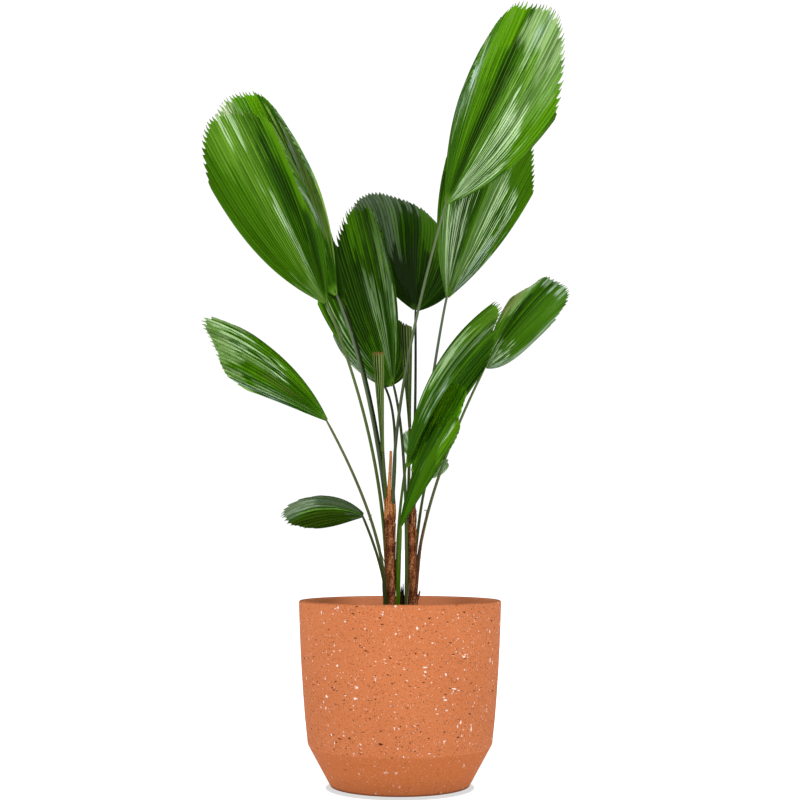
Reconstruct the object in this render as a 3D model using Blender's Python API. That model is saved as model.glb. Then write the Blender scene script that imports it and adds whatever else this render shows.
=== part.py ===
"""Potted ruffled fan palm: a turned clay pot, soil, two short stems, long petioles and pleated fans.

Metres, +Z up. The pot stands on z = 0 with its axis on the Z axis, and the plant's front faces -Y.
A fan is written in its own frame: x across, y from the hub to the tip, z out of the upper face.
A rib is named by s, from -1 for the left side rib to 1 for the right one, and by t along it.
"""
import math

import bmesh
import bpy
import numpy as np

POT_SEGMENTS = 64
POT_RIM_RADIUS = 0.1750
POT_HEIGHT = 0.3140
POT_WALL = 0.0090
POT_FLOOR = 0.0140
POT_FOOT_RADIUS = 0.1150
POT_BASE_RADIUS = 0.1228
POT_BASE_ROUND = 0.0070
POT_TOE_INSET = 0.0020
POT_TOE_LIFT = 0.0025
POT_CHAMFER_TOP = 0.0650
POT_CHAMFER_RADIUS = 0.1566
POT_SHOULDER_TOP = 0.0780
POT_SHOULDER_RADIUS = 0.1600
POT_WALL_ROWS = 4
POT_BELLY = 0.0020
POT_RIM_ROUND = 0.0030

# Clear width kept between pieces that touch on the real plant.
SEAT_GAP = 0.0003
SOIL_TOP = 0.2760
SOIL_MOUND = 0.0040
SOIL_ROWS = 3

STEM_SEGMENTS = 14
STEM_RINGS = 9
STEM_RIDGE = 0.05
STEM_RIDGES = 5
PETIOLE_SEGMENTS = 8
PETIOLE_RINGS = 11
PETIOLE_TIP_RADIUS = 0.0021
PETIOLE_TAPER_POWER = 0.8
PETIOLE_END_TAPER = 0.6
SHEATH_RINGS = 5
SHEATH_TIP_RADIUS = 0.0006

PLEATS = 14
FAN_ROWS = 5
FAN_THICKNESS = 0.0102
FAN_NECK_THICKNESS = 0.35
FAN_NECK_POWER = 0.5
FAN_ROW_POWER = 0.85
PETIOLE_REACH = 0.0090
PLEAT_DEPTH = 0.15
TOOTH_DEPTH = 0.030
FOLD_ROUND = 0.10
FLARE_FROM = 0.6
BEND_STEPS = 141
RIB_STEPS = 41

SPEAR_SEGMENTS = 12
SPEAR_RINGS = 5
SPEAR_FLATTEN = 0.45
SPEAR_TOOTH = 0.0035
SPEAR_NECK_RADIUS = 0.00315
SPEAR_WIDTH_POWER = 0.8
SPEAR_PLEAT = 0.82
SPEAR_LIFT = 0.0006

FAN_GREEN = (0.060, 0.190, 0.018)
FAN_DARK_GREEN = (0.022, 0.070, 0.010)
FAN_LIGHT_GREEN = (0.100, 0.280, 0.022)
FAN_COLOURS = {"e": FAN_DARK_GREEN, "f": FAN_DARK_GREEN, "m": FAN_DARK_GREEN, "n": FAN_LIGHT_GREEN}
PETIOLE_GREEN = (0.105, 0.165, 0.055)
SPEAR_GREEN = (0.115, 0.125, 0.045)
STEM_BROWN = (0.165, 0.068, 0.034)
SHEATH_BROWN = (0.360, 0.150, 0.055)
SOIL_BROWN = (0.035, 0.024, 0.016)
CLAY = (0.670, 0.215, 0.088)

# Heights at which the stems and stalks stand: just clear of the soil and of each stem's head.
LEFT_HEAD = 0.4875
RIGHT_HEAD = 0.4730
SOIL_LEVEL = SOIL_TOP + SEAT_GAP
LEFT_LEVEL = LEFT_HEAD + SEAT_GAP
RIGHT_LEVEL = RIGHT_HEAD + SEAT_GAP

# The two stems: centre of the foot, centre of the head, radius at the foot and at the head.
STEMS = {
    "stem_left": ((-0.0175, 0.0000, SOIL_LEVEL), (-0.0175, 0.0000, LEFT_HEAD), 0.0096, 0.0092),
    "stem_right": ((0.0218, 0.0040, SOIL_LEVEL), (0.0195, 0.0040, RIGHT_HEAD), 0.0090, 0.0082),
}
SHEATH_FOOT = (-0.0190, -0.0055, LEFT_LEVEL)
SHEATH_TIP = (-0.0160, -0.0080, 0.5720)
SHEATH_RADIUS = 0.0029

# One entry a fan: foot and middle of its petiole, its hub, how far from the hub its blade starts,
# the petiole's foot radius, the way it points, its size and its folds. Lengths in metres, turns in
# degrees; "fold" and "curl" hold the left and the right half.
FANS = {
    "a": dict(foot=(-0.0118, -0.0035, LEFT_LEVEL), mid=(0.0099, -0.0310, 0.7085),
              hub=(0.077, -0.070, 0.992), seat=0.0096, thick=0.0030, heading=10.5, rise=69.1, roll=90.9,
              length=0.376, spread=49, close=0.24, drop=0.23, square=2.8, lean=-0.02,
              fold=(46, -34), curl=(42, 16), bow=-42.2, sway=-2.3, twist=-27.3),
    "b": dict(foot=(0.0237, 0.0035, RIGHT_LEVEL), mid=(0.0617, 0.0250, 0.7269),
              hub=(0.084, 0.050, 0.847), seat=0.0097, thick=0.0027, heading=31.9, rise=81, roll=93.8,
              length=0.407, spread=45, close=0.52, drop=0.34, square=1.9, lean=0.11,
              fold=(19, -8), curl=(17, 16), bow=-19.8, sway=6.2, twist=-17.5),
    "c": dict(foot=(-0.0245, 0.0165, SOIL_LEVEL), mid=(-0.0439, 0.0040, 0.5497),
              hub=(-0.124, -0.100, 0.814), seat=0.0097, thick=0.0034, heading=154.5, rise=74.9, roll=-78.5,
              length=0.350, spread=49, close=0.55, drop=0.23, square=5.0, lean=-0.07,
              fold=(-17, 48), curl=(24, 32), bow=-50.5, sway=-1.7, twist=29.1),
    "d": dict(foot=(0.0100, -0.0050, SOIL_LEVEL), mid=(0.0076, 0.0000, 0.5355),
              hub=(-0.012, 0.040, 0.687), seat=0.0096, thick=0.0031, heading=102, rise=70.5, roll=-44,
              length=0.349, spread=53, close=0.34, drop=0.23, square=1.8, lean=-0.08,
              fold=(-26, 41), curl=(36, 21), bow=-31.9, sway=6.2, twist=17.5),
    "e": dict(foot=(-0.0125, 0.0050, LEFT_LEVEL), mid=(-0.0103, 0.0700, 0.6195),
              hub=(-0.028, 0.150, 0.697), seat=0.0095, thick=0.0027, heading=106, rise=41, roll=7.2,
              length=0.215, spread=60, close=0.96, drop=0.27, square=3.6, lean=0.04,
              fold=(-1, -5), curl=(11, 14), bow=-23.2, sway=-7.2, twist=3.1),
    "f": dict(foot=(0.0190, 0.0095, RIGHT_LEVEL), mid=(0.0267, 0.0480, 0.6385),
              hub=(0.029, 0.100, 0.832), seat=0.0096, thick=0.0027, heading=99.4, rise=53, roll=11.7,
              length=0.309, spread=55, close=0.64, drop=0.36, square=3.5, lean=0.05,
              fold=(7, -8), curl=(-17, -13), flare=40, bow=-15.3, sway=4.3, twist=-12),
    "g": dict(foot=(-0.0080, 0.0180, SOIL_LEVEL), mid=(-0.0441, 0.0140, 0.6052),
              hub=(-0.109, -0.040, 0.837), seat=0.0098, thick=0.0032, heading=144.7, rise=69.7, roll=-91.4,
              length=0.390, spread=40, close=0.49, drop=0.28, square=4.7, lean=-0.02,
              fold=(3, 24), curl=(14, 32), bow=-44.9, sway=19.8, twist=17.4),
    "h": dict(foot=(-0.0165, 0.0265, SOIL_LEVEL), mid=(-0.0323, 0.0350, 0.5566),
              hub=(-0.096, 0.060, 0.833), seat=0.0096, thick=0.0030, heading=165.3, rise=62.7, roll=-78.9,
              length=0.357, spread=42, close=0.62, drop=0.37, square=3.0, lean=-0.10,
              fold=(42, 58), curl=(8, 16), bow=-2.5, sway=-0.8, twist=11.7),
    "i": dict(foot=(-0.0300, -0.0060, SOIL_LEVEL), mid=(-0.0419, -0.0290, 0.4259),
              hub=(-0.121, -0.060, 0.618), seat=0.0099, thick=0.0031, heading=211, rise=39, roll=-94.9,
              length=0.300, spread=22, close=0.86, drop=0.29, square=5.9, lean=0.07,
              fold=(-7, -1), curl=(-18, 13), bow=-35.5, sway=-29.8, twist=-34.2),
    "j": dict(foot=(-0.0250, -0.0125, SOIL_LEVEL), mid=(-0.0298, -0.0370, 0.3565),
              hub=(-0.057, -0.070, 0.458), seat=0.0102, thick=0.0028, heading=209.5, rise=19, roll=-108.1,
              length=0.179, spread=36, close=1.15, drop=0.35, square=2.2, lean=-0.05,
              fold=(23, -52), curl=(-20, 22), bow=-35.1, sway=-36.5, twist=-40),
    "k": dict(foot=(-0.0010, 0.0020, SOIL_LEVEL), mid=(-0.0040, -0.0120, 0.4090),
              hub=(0.010, -0.030, 0.538), seat=0.0095, thick=0.0030, heading=319.9, rise=86.4, roll=43.1,
              length=0.343, spread=52, close=1.10, drop=0.15, square=3.5, lean=0.01,
              fold=(-54, -12), curl=(-5, -5), bow=51, sway=-3.7, twist=-11.1),
    "l": dict(foot=(0.0270, 0.0170, SOIL_LEVEL), mid=(0.0519, 0.0350, 0.4753),
              hub=(0.152, 0.060, 0.724), seat=0.0097, thick=0.0031, heading=55.2, rise=50.8, roll=61.7,
              length=0.219, spread=51, close=0.32, drop=0.16, square=5.0, lean=0.12,
              fold=(59, -30), curl=(-16, -26), bow=-53.2, sway=6.8, twist=-23.8),
    "m": dict(foot=(0.0185, -0.0015, RIGHT_LEVEL), mid=(0.0190, -0.0190, 0.5080),
              hub=(0.018, -0.055, 0.530), seat=0.0103, thick=0.0022, heading=0.7, rise=50.8, roll=47.2,
              length=0.175, spread=42, close=0.68, drop=0.23, square=3.6, lean=-0.02,
              fold=(-3, 31), curl=(-10, -14), bow=-21.5, sway=2.6, twist=12.7),
    "n": dict(foot=(-0.0044, -0.0130, SOIL_LEVEL), mid=(-0.0020, -0.0560, 0.3580),
              hub=(-0.002, -0.120, 0.432), seat=0.0101, thick=0.0040, heading=342.8, rise=66.8, roll=40,
              length=0.212, spread=43, close=0.54, drop=0.30, square=2.1, lean=-0.02,
              fold=(-14, 16), curl=(26, 5), bow=7.2, sway=16.5, twist=1.6),
    "p": dict(foot=(0.0175, 0.0195, SOIL_LEVEL), mid=(0.0327, 0.0440, 0.4412),
              hub=(0.052, 0.080, 0.526), seat=0.0098, thick=0.0030, heading=99, rise=37, roll=24,
              length=0.143, spread=50, close=0.51, drop=0.38, square=1.8, lean=0.06,
              fold=(4, -2), curl=(-3, -7), bow=-9, sway=-2, twist=-2),
}

# The two closed spears: foot, middle and head of the petiole, top of the spear, width at the top.
SPEARS = {
    "q": dict(foot=(0.0140, 0.0040, RIGHT_LEVEL), mid=(0.016, 0.010, 0.547), hub=(0.017, 0.018, 0.621),
              top=(0.010, 0.020, 0.794), width=0.0215, thick=0.0030),
    "r": dict(foot=(-0.0230, 0.0010, LEFT_LEVEL), mid=(-0.027, -0.011, 0.532), hub=(-0.030, -0.022, 0.576),
              top=(-0.038, -0.030, 0.738), width=0.0185, thick=0.0034),
}


def clear_scene():
    for item in list(bpy.data.objects):
        bpy.data.objects.remove(item, do_unlink=True)


def material(name, colour, roughness):
    surface = bpy.data.materials.new(name)
    surface.use_nodes = True
    shader = surface.node_tree.nodes["Principled BSDF"]
    shader.inputs["Base Color"].default_value = (*colour, 1.0)
    shader.inputs["Roughness"].default_value = roughness
    shader.inputs["Metallic"].default_value = 0.0
    surface.diffuse_color = (*colour, 1.0)
    return surface


def add_object(name, points, faces, surface, smooth):
    mesh = bpy.data.meshes.new(name)
    mesh.from_pydata([tuple(point) for point in points], [], faces)
    mesh.materials.append(surface)
    shape = bmesh.new()
    shape.from_mesh(mesh)
    bmesh.ops.recalc_face_normals(shape, faces=shape.faces)
    shape.to_mesh(mesh)
    shape.free()
    mesh.polygons.foreach_set("use_smooth", [smooth] * len(mesh.polygons))
    item = bpy.data.objects.new(name, mesh)
    bpy.context.scene.collection.objects.link(item)
    return item


def grid_faces(rows, columns, wrap):
    """Quads between neighbouring rows; with wrap, each row is a closed ring."""
    faces = []
    for row in range(rows - 1):
        for column in range(columns if wrap else columns - 1):
            after = (column + 1) % columns
            faces.append((row * columns + column, row * columns + after,
                          (row + 1) * columns + after, (row + 1) * columns + column))
    return faces


def turned(name, profile, segments, surface):
    """A turned solid from a profile whose first and last points lie on the axis."""
    points = [(0.0, 0.0, profile[0][1])]
    for radius, height in profile[1:-1]:
        for step in range(segments):
            angle = 2.0 * math.pi * step / segments
            points.append((radius * math.cos(angle), radius * math.sin(angle), height))
    points.append((0.0, 0.0, profile[-1][1]))
    rows = len(profile) - 2
    faces = [tuple(index + 1 for index in face) for face in grid_faces(rows, segments, True)]
    last_ring = 1 + (rows - 1) * segments
    end = len(points) - 1
    for step in range(segments):
        after = (step + 1) % segments
        faces.append((0, 1 + after, 1 + step))
        faces.append((end, last_ring + step, last_ring + after))
    return add_object(name, points, faces, surface, True)


def pot_wall_radius(height):
    """Outer radius of the pot's wall between the shoulder and the rim, with a slight belly."""
    share = (height - POT_SHOULDER_TOP) / (POT_HEIGHT - POT_SHOULDER_TOP)
    straight = POT_SHOULDER_RADIUS + (POT_RIM_RADIUS - POT_SHOULDER_RADIUS) * share
    return straight + POT_BELLY * math.sin(math.pi * share)


def pot_profile():
    profile = [(0.0, 0.0), (POT_FOOT_RADIUS, 0.0), (POT_BASE_RADIUS - POT_TOE_INSET, POT_TOE_LIFT),
               (POT_BASE_RADIUS, POT_BASE_ROUND), (POT_CHAMFER_RADIUS, POT_CHAMFER_TOP)]
    rim_start = POT_HEIGHT - POT_RIM_ROUND
    for row in range(POT_WALL_ROWS + 1):
        height = POT_SHOULDER_TOP + (rim_start - POT_SHOULDER_TOP) * row / POT_WALL_ROWS
        profile.append((pot_wall_radius(height), height))
    profile.append((POT_RIM_RADIUS - POT_RIM_ROUND, POT_HEIGHT))
    profile.append((POT_RIM_RADIUS - POT_WALL + POT_RIM_ROUND, POT_HEIGHT))
    profile.extend(reversed(inner_wall(rim_start)))
    profile.append((0.0, POT_FLOOR))
    return profile


def inner_wall(top):
    """The pot's inner wall from its floor up to a height, as radius and height."""
    wall = [(POT_BASE_RADIUS - POT_WALL, POT_FLOOR), (POT_CHAMFER_RADIUS - POT_WALL, POT_CHAMFER_TOP)]
    for row in range(POT_WALL_ROWS + 1):
        height = POT_SHOULDER_TOP + (top - POT_SHOULDER_TOP) * row / POT_WALL_ROWS
        wall.append((pot_wall_radius(height) - POT_WALL, height))
    return wall


def soil_profile():
    profile = [(0.0, POT_FLOOR + SEAT_GAP)]
    for radius, height in inner_wall(POT_HEIGHT - POT_RIM_ROUND):
        if height < SOIL_TOP:
            profile.append((radius - 2.0 * SEAT_GAP, max(height, POT_FLOOR + SEAT_GAP)))
    edge = pot_wall_radius(SOIL_TOP) - POT_WALL - 2.0 * SEAT_GAP
    for row in range(SOIL_ROWS):
        share = row / SOIL_ROWS
        profile.append((edge * (1.0 - share), SOIL_TOP - SOIL_MOUND * (1.0 - share) ** 2))
    profile.append((0.0, SOIL_TOP))
    return profile


def ring_frames(path):
    """Two directions across a path at each of its points, carried along without turning."""
    tangents = np.gradient(path, axis=0)
    tangents /= np.linalg.norm(tangents, axis=1)[:, None]
    across = np.cross(tangents[0], (0.0, 1.0, 0.0))
    sides = []
    for tangent in tangents:
        across = across - tangent * np.dot(across, tangent)
        across /= np.linalg.norm(across)
        sides.append((across.copy(), np.cross(tangent, across)))
    return sides


def tube(name, path, radii, segments, surface, level_head=False):
    """A closed tube along a path, with its foot cut level, and its head too where level_head says so.

    The list of radii has one row a ring, with one radius or one a segment.
    """
    path = np.asarray(path)
    level_rings = (0, len(path) - 1) if level_head else (0,)
    points = []
    for ring, (centre, (across, depth), radius) in enumerate(zip(path, ring_frames(path), radii)):
        tangent = np.cross(across, depth)
        for step in range(segments):
            angle = 2.0 * math.pi * step / segments
            reach = radius[step] if np.ndim(radius) else radius
            point = centre + reach * (math.cos(angle) * across + math.sin(angle) * depth)
            if ring in level_rings:
                point -= tangent * (point[2] - centre[2]) / tangent[2]
            points.append(point)
    faces = grid_faces(len(path), segments, True)
    first = len(points)
    points.extend([path[0], path[-1]])
    last_ring = (len(path) - 1) * segments
    for step in range(segments):
        after = (step + 1) % segments
        faces.append((first, after, step))
        faces.append((first + 1, last_ring + step, last_ring + after))
    return add_object(name, points, faces, surface, True)


def curve_through(start, middle, end, steps):
    """A parabola that passes the middle point half way from start to end."""
    start, middle, end = (np.array(point) for point in (start, middle, end))
    pull = 2.0 * middle - (start + end) / 2.0
    share = np.linspace(0.0, 1.0, steps)[:, None]
    return (1.0 - share) ** 2 * start + 2.0 * share * (1.0 - share) * pull + share ** 2 * end


def petiole_radii(foot_radius, steps):
    share = np.linspace(0.0, 1.0, steps)
    radii = PETIOLE_TIP_RADIUS + (foot_radius - PETIOLE_TIP_RADIUS) * (1.0 - share) ** PETIOLE_TAPER_POWER
    radii[-1] *= PETIOLE_END_TAPER
    return radii


def add_petiole(name, foot, middle, end, foot_radius, surface):
    path = curve_through(foot, middle, end, PETIOLE_RINGS)
    return tube(name, path, petiole_radii(foot_radius, PETIOLE_RINGS), PETIOLE_SEGMENTS, surface)


def add_stem(name, foot, head, foot_radius, head_radius, surface):
    share = np.linspace(0.0, 1.0, STEM_RINGS)[:, None]
    path = np.array(foot) + (np.array(head) - np.array(foot)) * share
    angles = 2.0 * math.pi * np.arange(STEM_SEGMENTS) / STEM_SEGMENTS
    radii = (foot_radius + (head_radius - foot_radius) * share) * (
        1.0 + STEM_RIDGE * np.sin(STEM_RIDGES * angles[None, :] + 9.0 * share) * np.sin(math.pi * share))
    return tube(name, path, radii, STEM_SEGMENTS, surface, level_head=True)


def fan_axes(fan):
    """Right, forward and upper-face directions of a fan, from its heading, rise and roll."""
    heading, rise, roll = (math.radians(fan[key]) for key in ("heading", "rise", "roll"))
    forward = np.array((math.cos(rise) * math.cos(heading), math.cos(rise) * math.sin(heading),
                        math.sin(rise)))
    level = np.array((-math.sin(rise) * math.cos(heading), -math.sin(rise) * math.sin(heading),
                      math.cos(rise)))
    normal = math.cos(roll) * level + math.sin(roll) * np.cross(forward, level)
    return np.cross(forward, normal), forward, normal


def flat_ribs(fan, sides, along):
    """Distance from the hub and bearing of each rib point on the unfolded fan."""
    reach = fan["length"] * (1.0 - fan["drop"] * np.abs(sides) ** fan["square"] + fan["lean"] * sides)
    start = sides * math.radians(fan["spread"])
    turn = start * fan["close"]
    turn = np.where(np.abs(turn) < 1e-6, 1e-6, turn)
    across = reach * (np.cos(start - turn * along) - np.cos(start)) / turn
    forward = reach * (np.sin(start) - np.sin(start - turn * along)) / turn
    return np.hypot(across, forward), np.arctan2(across, forward)


def fold_section(fold, curl):
    """Cross-section of a half fan at unit half width: how far it goes out and up."""
    share = np.linspace(0.0, 1.0, 101)
    tilt = math.radians(fold) * (1.0 - np.exp(-share / FOLD_ROUND)) + math.radians(curl) * share ** 2
    middle = (tilt[1:] + tilt[:-1]) / 2.0
    out = np.concatenate([[0.0], np.cumsum(np.cos(middle))]) * 0.01
    up = np.concatenate([[0.0], np.cumsum(np.sin(middle))]) * 0.01
    return share, out, up


def folded_ribs(fan, sides, along):
    """Rib points after the fan is folded along its middle rib, as a cone from the hub."""
    distance, bearing = flat_ribs(fan, sides, along)
    spread = np.abs(bearing) / np.maximum(np.abs(sides), 1e-9)
    points = np.zeros(sides.shape + (3,))
    for half, (fold, curl) in enumerate(zip(fan["fold"], fan["curl"])):
        share, out, up = fold_section(fold, curl)
        side = np.interp(np.abs(sides), share, out) * spread
        rise = np.interp(np.abs(sides), share, up) * spread
        turn = np.maximum(np.hypot(side, rise), 1e-9)
        folded = np.stack([distance * np.sin(turn) * side / turn * np.sign(sides),
                           distance * np.cos(turn),
                           distance * np.sin(turn) * rise / turn], axis=-1)
        here = sides < 0.0 if half == 0 else sides >= 0.0
        points[here] = folded[here]
    return points


def flared(points, along, flare):
    """Bends each rib back out of the surface from FLARE_FROM to the margin."""
    back = -math.radians(flare) * np.clip((along - FLARE_FROM) / (1.0 - FLARE_FROM), 0.0, 1.0) ** 1.5
    across = np.gradient(points, axis=1)
    step = np.diff(points, axis=0)
    normal = np.cross((across[1:] + across[:-1]) / 2.0, step)
    normal /= np.maximum(np.linalg.norm(normal, axis=-1, keepdims=True), 1e-12)
    turn = ((back[1:] + back[:-1]) / 2.0)[..., None]
    size = np.linalg.norm(step, axis=-1, keepdims=True)
    turned_step = step * np.cos(turn) + normal * size * np.sin(turn)
    return np.concatenate([points[:1], points[:1] + np.cumsum(turned_step, axis=0)], axis=0)


def bent(points, fan):
    """Bows the fan back, sways it sideways and twists it about its middle rib."""
    length = fan["length"]
    share = np.linspace(-0.2, 1.2, BEND_STEPS)
    bow = math.radians(fan["bow"]) * np.clip(share, 0.0, 2.0)
    sway = math.radians(fan["sway"]) * np.clip(share, 0.0, 2.0)
    rates = (np.sin(sway) * np.cos(bow), np.cos(sway) * np.cos(bow), -np.sin(bow))
    pace = (share[1] - share[0]) * length
    spine = []
    for rate in rates:
        run = np.concatenate([[0.0], np.cumsum((rate[1:] + rate[:-1]) / 2.0)]) * pace
        spine.append(run - np.interp(0.0, share, run))
    place = points[..., 1] / length
    centre = np.stack([np.interp(place, share, run) for run in spine], axis=-1)
    inside = np.clip(place, 0.0, 2.0)
    bow, sway, twist = (math.radians(fan[key]) * inside for key in ("bow", "sway", "twist"))
    forward = np.stack([np.sin(sway) * np.cos(bow), np.cos(sway) * np.cos(bow), -np.sin(bow)], axis=-1)
    right = np.stack([np.cos(sway), -np.sin(sway), np.zeros_like(sway)], axis=-1)
    normal = np.cross(right, forward)
    across = points[..., 0] * np.cos(twist) - points[..., 2] * np.sin(twist)
    up = points[..., 0] * np.sin(twist) + points[..., 2] * np.cos(twist)
    return centre + across[..., None] * right + up[..., None] * normal


def fan_surface(fan, sides, along):
    """Middle surface of a fan in world space, one row for each value of along."""
    fine = np.linspace(0.0, 1.0, RIB_STEPS)
    side_grid, along_grid = np.meshgrid(sides, fine)
    points = folded_ribs(fan, side_grid, along_grid)
    if fan.get("flare"):
        points = flared(points, along_grid, fan["flare"])
    points = bent(points, fan)
    right, forward, normal = fan_axes(fan)
    placed = (np.array(fan["hub"]) + points[..., 0:1] * right + points[..., 1:2] * forward
              + points[..., 2:3] * normal)
    rows = []
    for share in along:
        position = np.clip(share, 0.0, 1.0) * (RIB_STEPS - 1)
        low = np.minimum(position.astype(int), RIB_STEPS - 2)
        part = (position - low)[:, None]
        column = np.arange(len(sides))
        rows.append(placed[low, column] * (1.0 - part) + placed[low + 1, column] * part)
    return np.array(rows)


def fan_grid_shares(fan, sides, rows):
    """Shares along each rib from the neck to the toothed margin; every other rib ends short."""
    reach = fan["length"] * (1.0 - fan["drop"] * np.abs(sides) ** fan["square"] + fan["lean"] * sides)
    start = fan["seat"] / reach
    short = np.where(np.arange(len(sides)) % 2 == 0, TOOTH_DEPTH, 0.0)
    share = np.linspace(0.0, 1.0, rows)[:, None] ** FAN_ROW_POWER
    return start + (1.0 - short - start) * share


def add_fan(name, fan, surface):
    """A closed thin solid: the pleated middle surface moved half a thickness to either side."""
    sides = np.linspace(-1.0, 1.0, 2 * PLEATS + 1)
    along = fan_grid_shares(fan, sides, FAN_ROWS)
    middle = fan_surface(fan, sides, along)
    across = np.gradient(middle, axis=1)
    normal = np.cross(across, np.gradient(middle, axis=0))
    normal /= np.linalg.norm(normal, axis=-1, keepdims=True)
    strip = np.linalg.norm(across, axis=-1, keepdims=True)
    ridge = np.where(np.arange(len(sides)) % 2 == 0, -1.0, 1.0)[None, :, None]
    growth = np.linspace(0.0, 1.0, FAN_ROWS) ** FAN_NECK_POWER
    neck = FAN_NECK_THICKNESS + (1.0 - FAN_NECK_THICKNESS) * growth
    half = 0.5 * FAN_THICKNESS * fan["length"] * neck[:, None, None]
    crest = middle + normal * strip * PLEAT_DEPTH * ridge
    rows, columns = middle.shape[:2]
    upper = (crest + normal * half).reshape(-1, 3)
    lower = (crest - normal * half).reshape(-1, 3)
    count = rows * columns
    faces = grid_faces(rows, columns, False)
    faces += [tuple(count + index for index in reversed(face)) for face in grid_faces(rows, columns, False)]
    for column in range(columns - 1):
        last = (rows - 1) * columns + column
        faces.append((column + 1, column, count + column, count + column + 1))
        faces.append((last, last + 1, count + last + 1, count + last))
    for row in range(rows - 1):
        left = row * columns
        right = left + columns - 1
        faces.append((left, left + columns, count + left + columns, count + left))
        faces.append((right + columns, right, count + right, count + right + columns))
    return add_object(name, np.concatenate([upper, lower]), faces, surface, False)


def add_spear(name, spear, surface):
    """A young fan still closed: a flattened bundle that widens to a toothed top."""
    foot = np.array(spear["hub"]) + np.array((0.0, 0.0, SPEAR_LIFT))
    top = np.array(spear["top"])
    points = []
    for ring in range(SPEAR_RINGS):
        share = ring / (SPEAR_RINGS - 1)
        wide = SPEAR_NECK_RADIUS + (spear["width"] / 2.0 - SPEAR_NECK_RADIUS) * share ** SPEAR_WIDTH_POWER
        centre = foot + (top - foot) * share
        for step in range(SPEAR_SEGMENTS):
            angle = 2.0 * math.pi * step / SPEAR_SEGMENTS
            fold = 1.0 if step % 2 == 0 else SPEAR_PLEAT
            tooth = SPEAR_TOOTH if ring == SPEAR_RINGS - 1 and step % 2 else 0.0
            points.append(centre + np.array((wide * fold * math.cos(angle),
                                             wide * fold * SPEAR_FLATTEN * math.sin(angle), -tooth)))
    faces = grid_faces(SPEAR_RINGS, SPEAR_SEGMENTS, True)
    first = len(points)
    points.extend([foot, top - np.array((0.0, 0.0, SPEAR_TOOTH))])
    last_ring = (SPEAR_RINGS - 1) * SPEAR_SEGMENTS
    for step in range(SPEAR_SEGMENTS):
        after = (step + 1) % SPEAR_SEGMENTS
        faces.append((first, after, step))
        faces.append((first + 1, last_ring + step, last_ring + after))
    return add_object(name, points, faces, surface, False)


def main():
    clear_scene()
    turned("pot", pot_profile(), POT_SEGMENTS, material("clay", CLAY, 0.85))
    turned("soil", soil_profile(), POT_SEGMENTS, material("soil", SOIL_BROWN, 0.95))
    for name, (foot, head, foot_radius, head_radius) in STEMS.items():
        add_stem(name, foot, head, foot_radius, head_radius, material(name, STEM_BROWN, 0.9))
    sheath = np.linspace(SHEATH_FOOT, SHEATH_TIP, SHEATH_RINGS)
    tube("sheath_spike", sheath, np.linspace(SHEATH_RADIUS, SHEATH_TIP_RADIUS, SHEATH_RINGS),
         PETIOLE_SEGMENTS, material("sheath_spike", SHEATH_BROWN, 0.8))
    for key, fan in FANS.items():
        forward = fan_axes(fan)[1]
        end = np.array(fan["hub"]) + forward * PETIOLE_REACH
        add_petiole("petiole_" + key, fan["foot"], fan["mid"], end, fan["thick"],
                    material("petiole_" + key, PETIOLE_GREEN, 0.55))
        add_fan("fan_" + key, fan, material("fan_" + key, FAN_COLOURS.get(key, FAN_GREEN), 0.4))
    for key, spear in SPEARS.items():
        add_petiole("petiole_" + key, spear["foot"], spear["mid"], spear["hub"], spear["thick"],
                    material("petiole_" + key, PETIOLE_GREEN, 0.55))
        add_spear("spear_" + key, spear, material("spear_" + key, SPEAR_GREEN, 0.5))


main()
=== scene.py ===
"""Potted ruffled fan palm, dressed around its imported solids.

The file is laid out as a Blender add-on and run as a script. Lengths are metres, +Z is up, the pot
stands on z = 0 and the plant's front faces -Y. A fan is worked out in its own frame, as in the solids:
s runs across it from -1 to 1, and t along each rib from the hub to the margin.
"""

import math

import bpy
import numpy as np
from bpy.props import FloatProperty, FloatVectorProperty, IntProperty, PointerProperty
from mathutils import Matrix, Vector


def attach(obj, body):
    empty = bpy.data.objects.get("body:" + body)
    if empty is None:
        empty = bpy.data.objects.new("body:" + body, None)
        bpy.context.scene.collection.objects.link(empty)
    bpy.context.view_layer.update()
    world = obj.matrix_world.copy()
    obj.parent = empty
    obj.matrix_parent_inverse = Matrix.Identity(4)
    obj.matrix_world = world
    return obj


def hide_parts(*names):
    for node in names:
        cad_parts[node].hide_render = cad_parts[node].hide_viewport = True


bl_info = {
    "name": "Potted ruffled fan palm",
    "version": (1, 0, 0),
    "blender": (4, 5, 0),
    "location": "View3D > Sidebar > Palm",
    "description": "Dresses a potted fan palm: pot, soil, fibrous stems, stalks, pleated fans and studio",
    "category": "Object",
}

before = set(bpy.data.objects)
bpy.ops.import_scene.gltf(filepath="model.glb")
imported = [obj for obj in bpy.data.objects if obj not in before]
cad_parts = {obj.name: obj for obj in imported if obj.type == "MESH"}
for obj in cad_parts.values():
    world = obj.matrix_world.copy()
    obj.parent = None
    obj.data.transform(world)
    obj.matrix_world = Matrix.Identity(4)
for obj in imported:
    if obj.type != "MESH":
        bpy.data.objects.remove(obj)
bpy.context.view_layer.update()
BODY = "root"

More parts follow.
